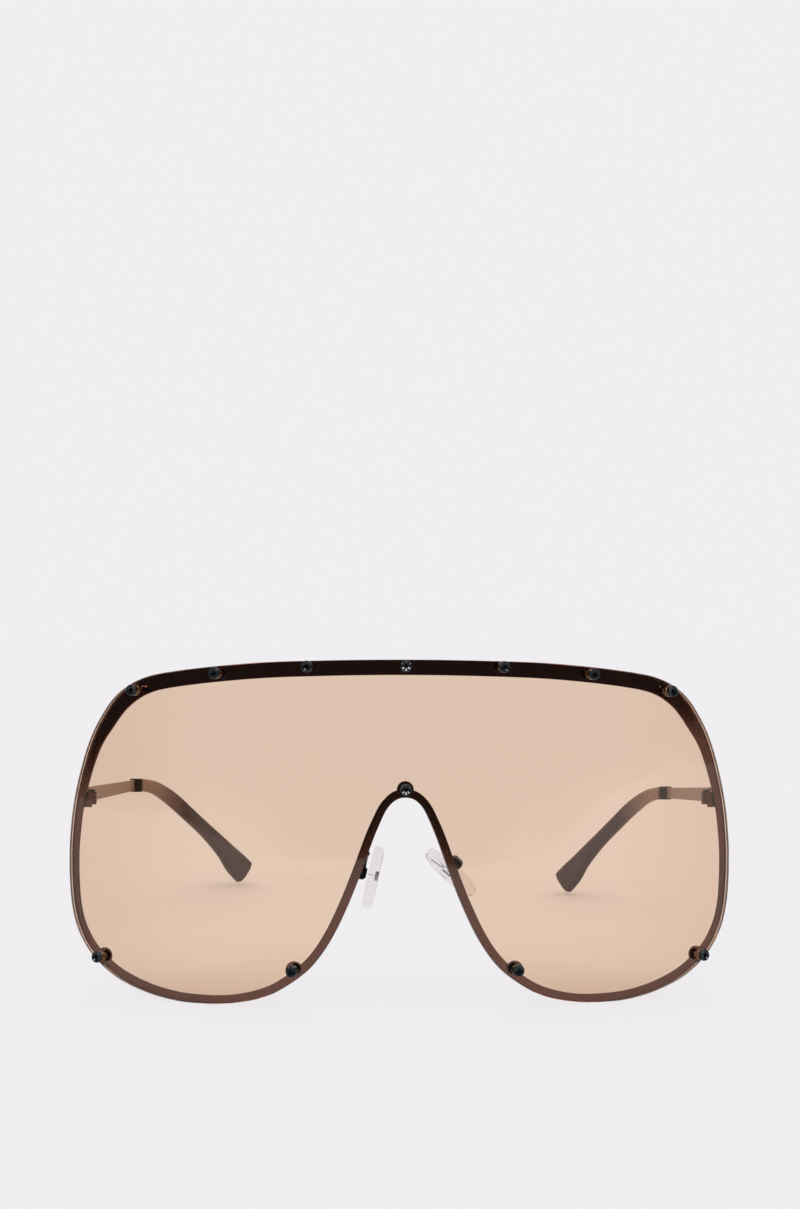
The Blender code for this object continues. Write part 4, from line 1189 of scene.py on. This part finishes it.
def make_world():
    """An even pale backdrop, a soft dome for light, and a dark front above the horizon for gloss."""
    world = bpy.data.worlds.new("studio")
    bpy.context.scene.world = world
    world.use_nodes = True
    light = Light(world.node_tree)
    nodes = light.tree.nodes
    nodes.remove(nodes["Background"])
    x, y, z = light.place("Generated")
    flat = light.glow("Background", BACKDROP)
    high = light.step(z, *DOME_RISE, 0.0, DOME_HIGH)
    dome = light.glow("Background", (1.0, 1.0, 1.0), light.math("ADD", high, DOME_LOW))

    # What gloss sees: pale below the mirrored horizon, behind and overhead, and the lamps
    above = light.math("SUBTRACT", z, light.horizon(x))
    total = light.step(above, -HORIZON_BLUR, HORIZON_BLUR, 1.0, 0.0)
    for other in (light.step(y, *GLOSS_BEHIND), light.step(z, *GLOSS_OVERHEAD)):
        total = light.math("MAXIMUM", total, other)
    shine = light.line(total, 0.0, 1.0, GLOSS_DARK, GLOSS_WHITE)
    for lamp in LAMPS:
        shine = light.math("ADD", shine, light.disc(lamp))
    gloss = light.glow("Background", BACKDROP, shine)
    lit = light.mix(light.ray("Is Glossy Ray"), dome, gloss)

    # The same dark front for what is mirrored behind the lens and then seen through it
    lowered = light.step(light.math("ABSOLUTE", x), *MIDDLE_FADE, MIDDLE_LIFT, 0.0)
    lowered = light.math("ADD", lowered, light.step(x, *SIDE_FADE, SIDE_LIFT, 0.0))
    front = light.step(light.math("ADD", z, lowered), *FRONT_RISE)
    mirrored = light.line(light.ray("Glossy Depth"), 0.0, 1.0)
    for other in (light.step(y, *FRONT_FADE, 1.0, 0.0), mirrored):
        front = light.math("MULTIPLY", front, other)
    lit = light.mix(light.ray("Is Transmission Ray"), lit, light.mix(front, flat, gloss))
    lit = light.mix(light.ray("Is Camera Ray"), lit, flat)
    light.feed(nodes["World Output"].inputs["Surface"], lit)


def make_floor():
    """A pale paper floor, all but plain to the camera, that shows soft shadows through the lens; the lens's
    own tinted shadow and a dark seam line are painted on it.
    """
    shape = bmesh.new()
    bmesh.ops.create_grid(shape, x_segments=FLOOR_CELLS, y_segments=FLOOR_CELLS, size=FLOOR_HALF)
    at = Vector((*PAPER_RISE_AT, 0))
    for vert in shape.verts:
        away = (vert.co - at).length / PAPER_RISE_WIDTH
        vert.co.z = PAPER_RISE * math.exp(-away * away / 2)
    for face in shape.faces:
        face.smooth = True
    floor = mesh_object("floor", shape)
    made = bpy.data.materials.new("floor_white")
    made.use_nodes = True
    light = Light(made.node_tree)
    nodes = light.tree.nodes
    nodes.remove(nodes["Principled BSDF"])
    matte = light.new("BsdfDiffuse", {"Color": (*FLOOR_WHITE, 1)}).outputs[0]
    even = light.glow("Emission", BACKDROP)
    painted_lens_shadow = light.glow("Emission", PAINTED_SHADE_WHITE)
    bright = light.glow("Emission", BACKDROP, GLOSS_WHITE)
    mirrored = light.mix(light.ray("Is Glossy Ray"), matte, bright)

    # Through the lens: a painted tinted shadow of the lens on the paper under it, the plain floor before
    # it, and a painted dark line of shade along a seam behind
    x, y, _ = light.place("Object")
    # Painted shadow: a warm patch from the lens's foot to a back edge that curves forward with x stands in
    # for the tinted shade the lens casts
    edge = light.math("MULTIPLY", light.math("MULTIPLY", x, x), LENS_SHADOW_CURVE)
    edge = light.math("ADD", light.math("ADD", edge, y), LENS_SHADOW_REACH)
    glow = light.mix(light.step(edge, *LENS_SHADOW_FADE, 1.0, 0.0), even, painted_lens_shadow)
    through = light.mix(FLOOR_GLOW, matte, glow)
    # Painted shade: a faint dark line across the paper along the seam, in half-bright warm white
    seam = light.math("ABSOLUTE", light.math("SUBTRACT", y, SEAM_BACK))
    dark = light.glow("Emission", PAINTED_SHADE_WHITE, 0.5)
    through = light.mix(light.step(seam, 0.0, SEAM_WIDTH, SEAM_SHADE, 0.0), through, dark)
    ground = light.mix(light.ray("Is Transmission Ray"), mirrored, through)
    ground = light.mix(light.ray("Is Camera Ray"), ground, light.mix(FLOOR_SHADE, even, matte))
    light.feed(nodes["Material Output"].inputs["Surface"], ground)
    floor.data.materials.append(made)


bpy.context.scene.view_settings.view_transform = "Standard"
make_camera()
make_world()
make_floor()

lens_look()
painted_look(
    "dark_metal", (0.133, 0.070, 0.056), 0.09, wear_and_highlight=1.3, specular=0.12, metallic=1.0, bump=0.012, arms=True)
screw_look()
bushing_look()
temple_look()
painted_look("collar_metal", (0.024, 0.015, 0.013), 0.28, wear_and_highlight=2.2, specular=0.3)
tip_look(SHIFT.y + HINGE_BACK + TEMPLE_LENGTH)
silicone_look()
core_look()

outline = half_outline()
screws = screw_places()
build_lens(outline, screws)
build_band(outline, screws)
build_screws(screws)
for word, row in TEMPLE_SIDES.items():
    build_temple(word, **row)
for word, row in PAD_SETS.items():
    build_pad(word, outline, **row)
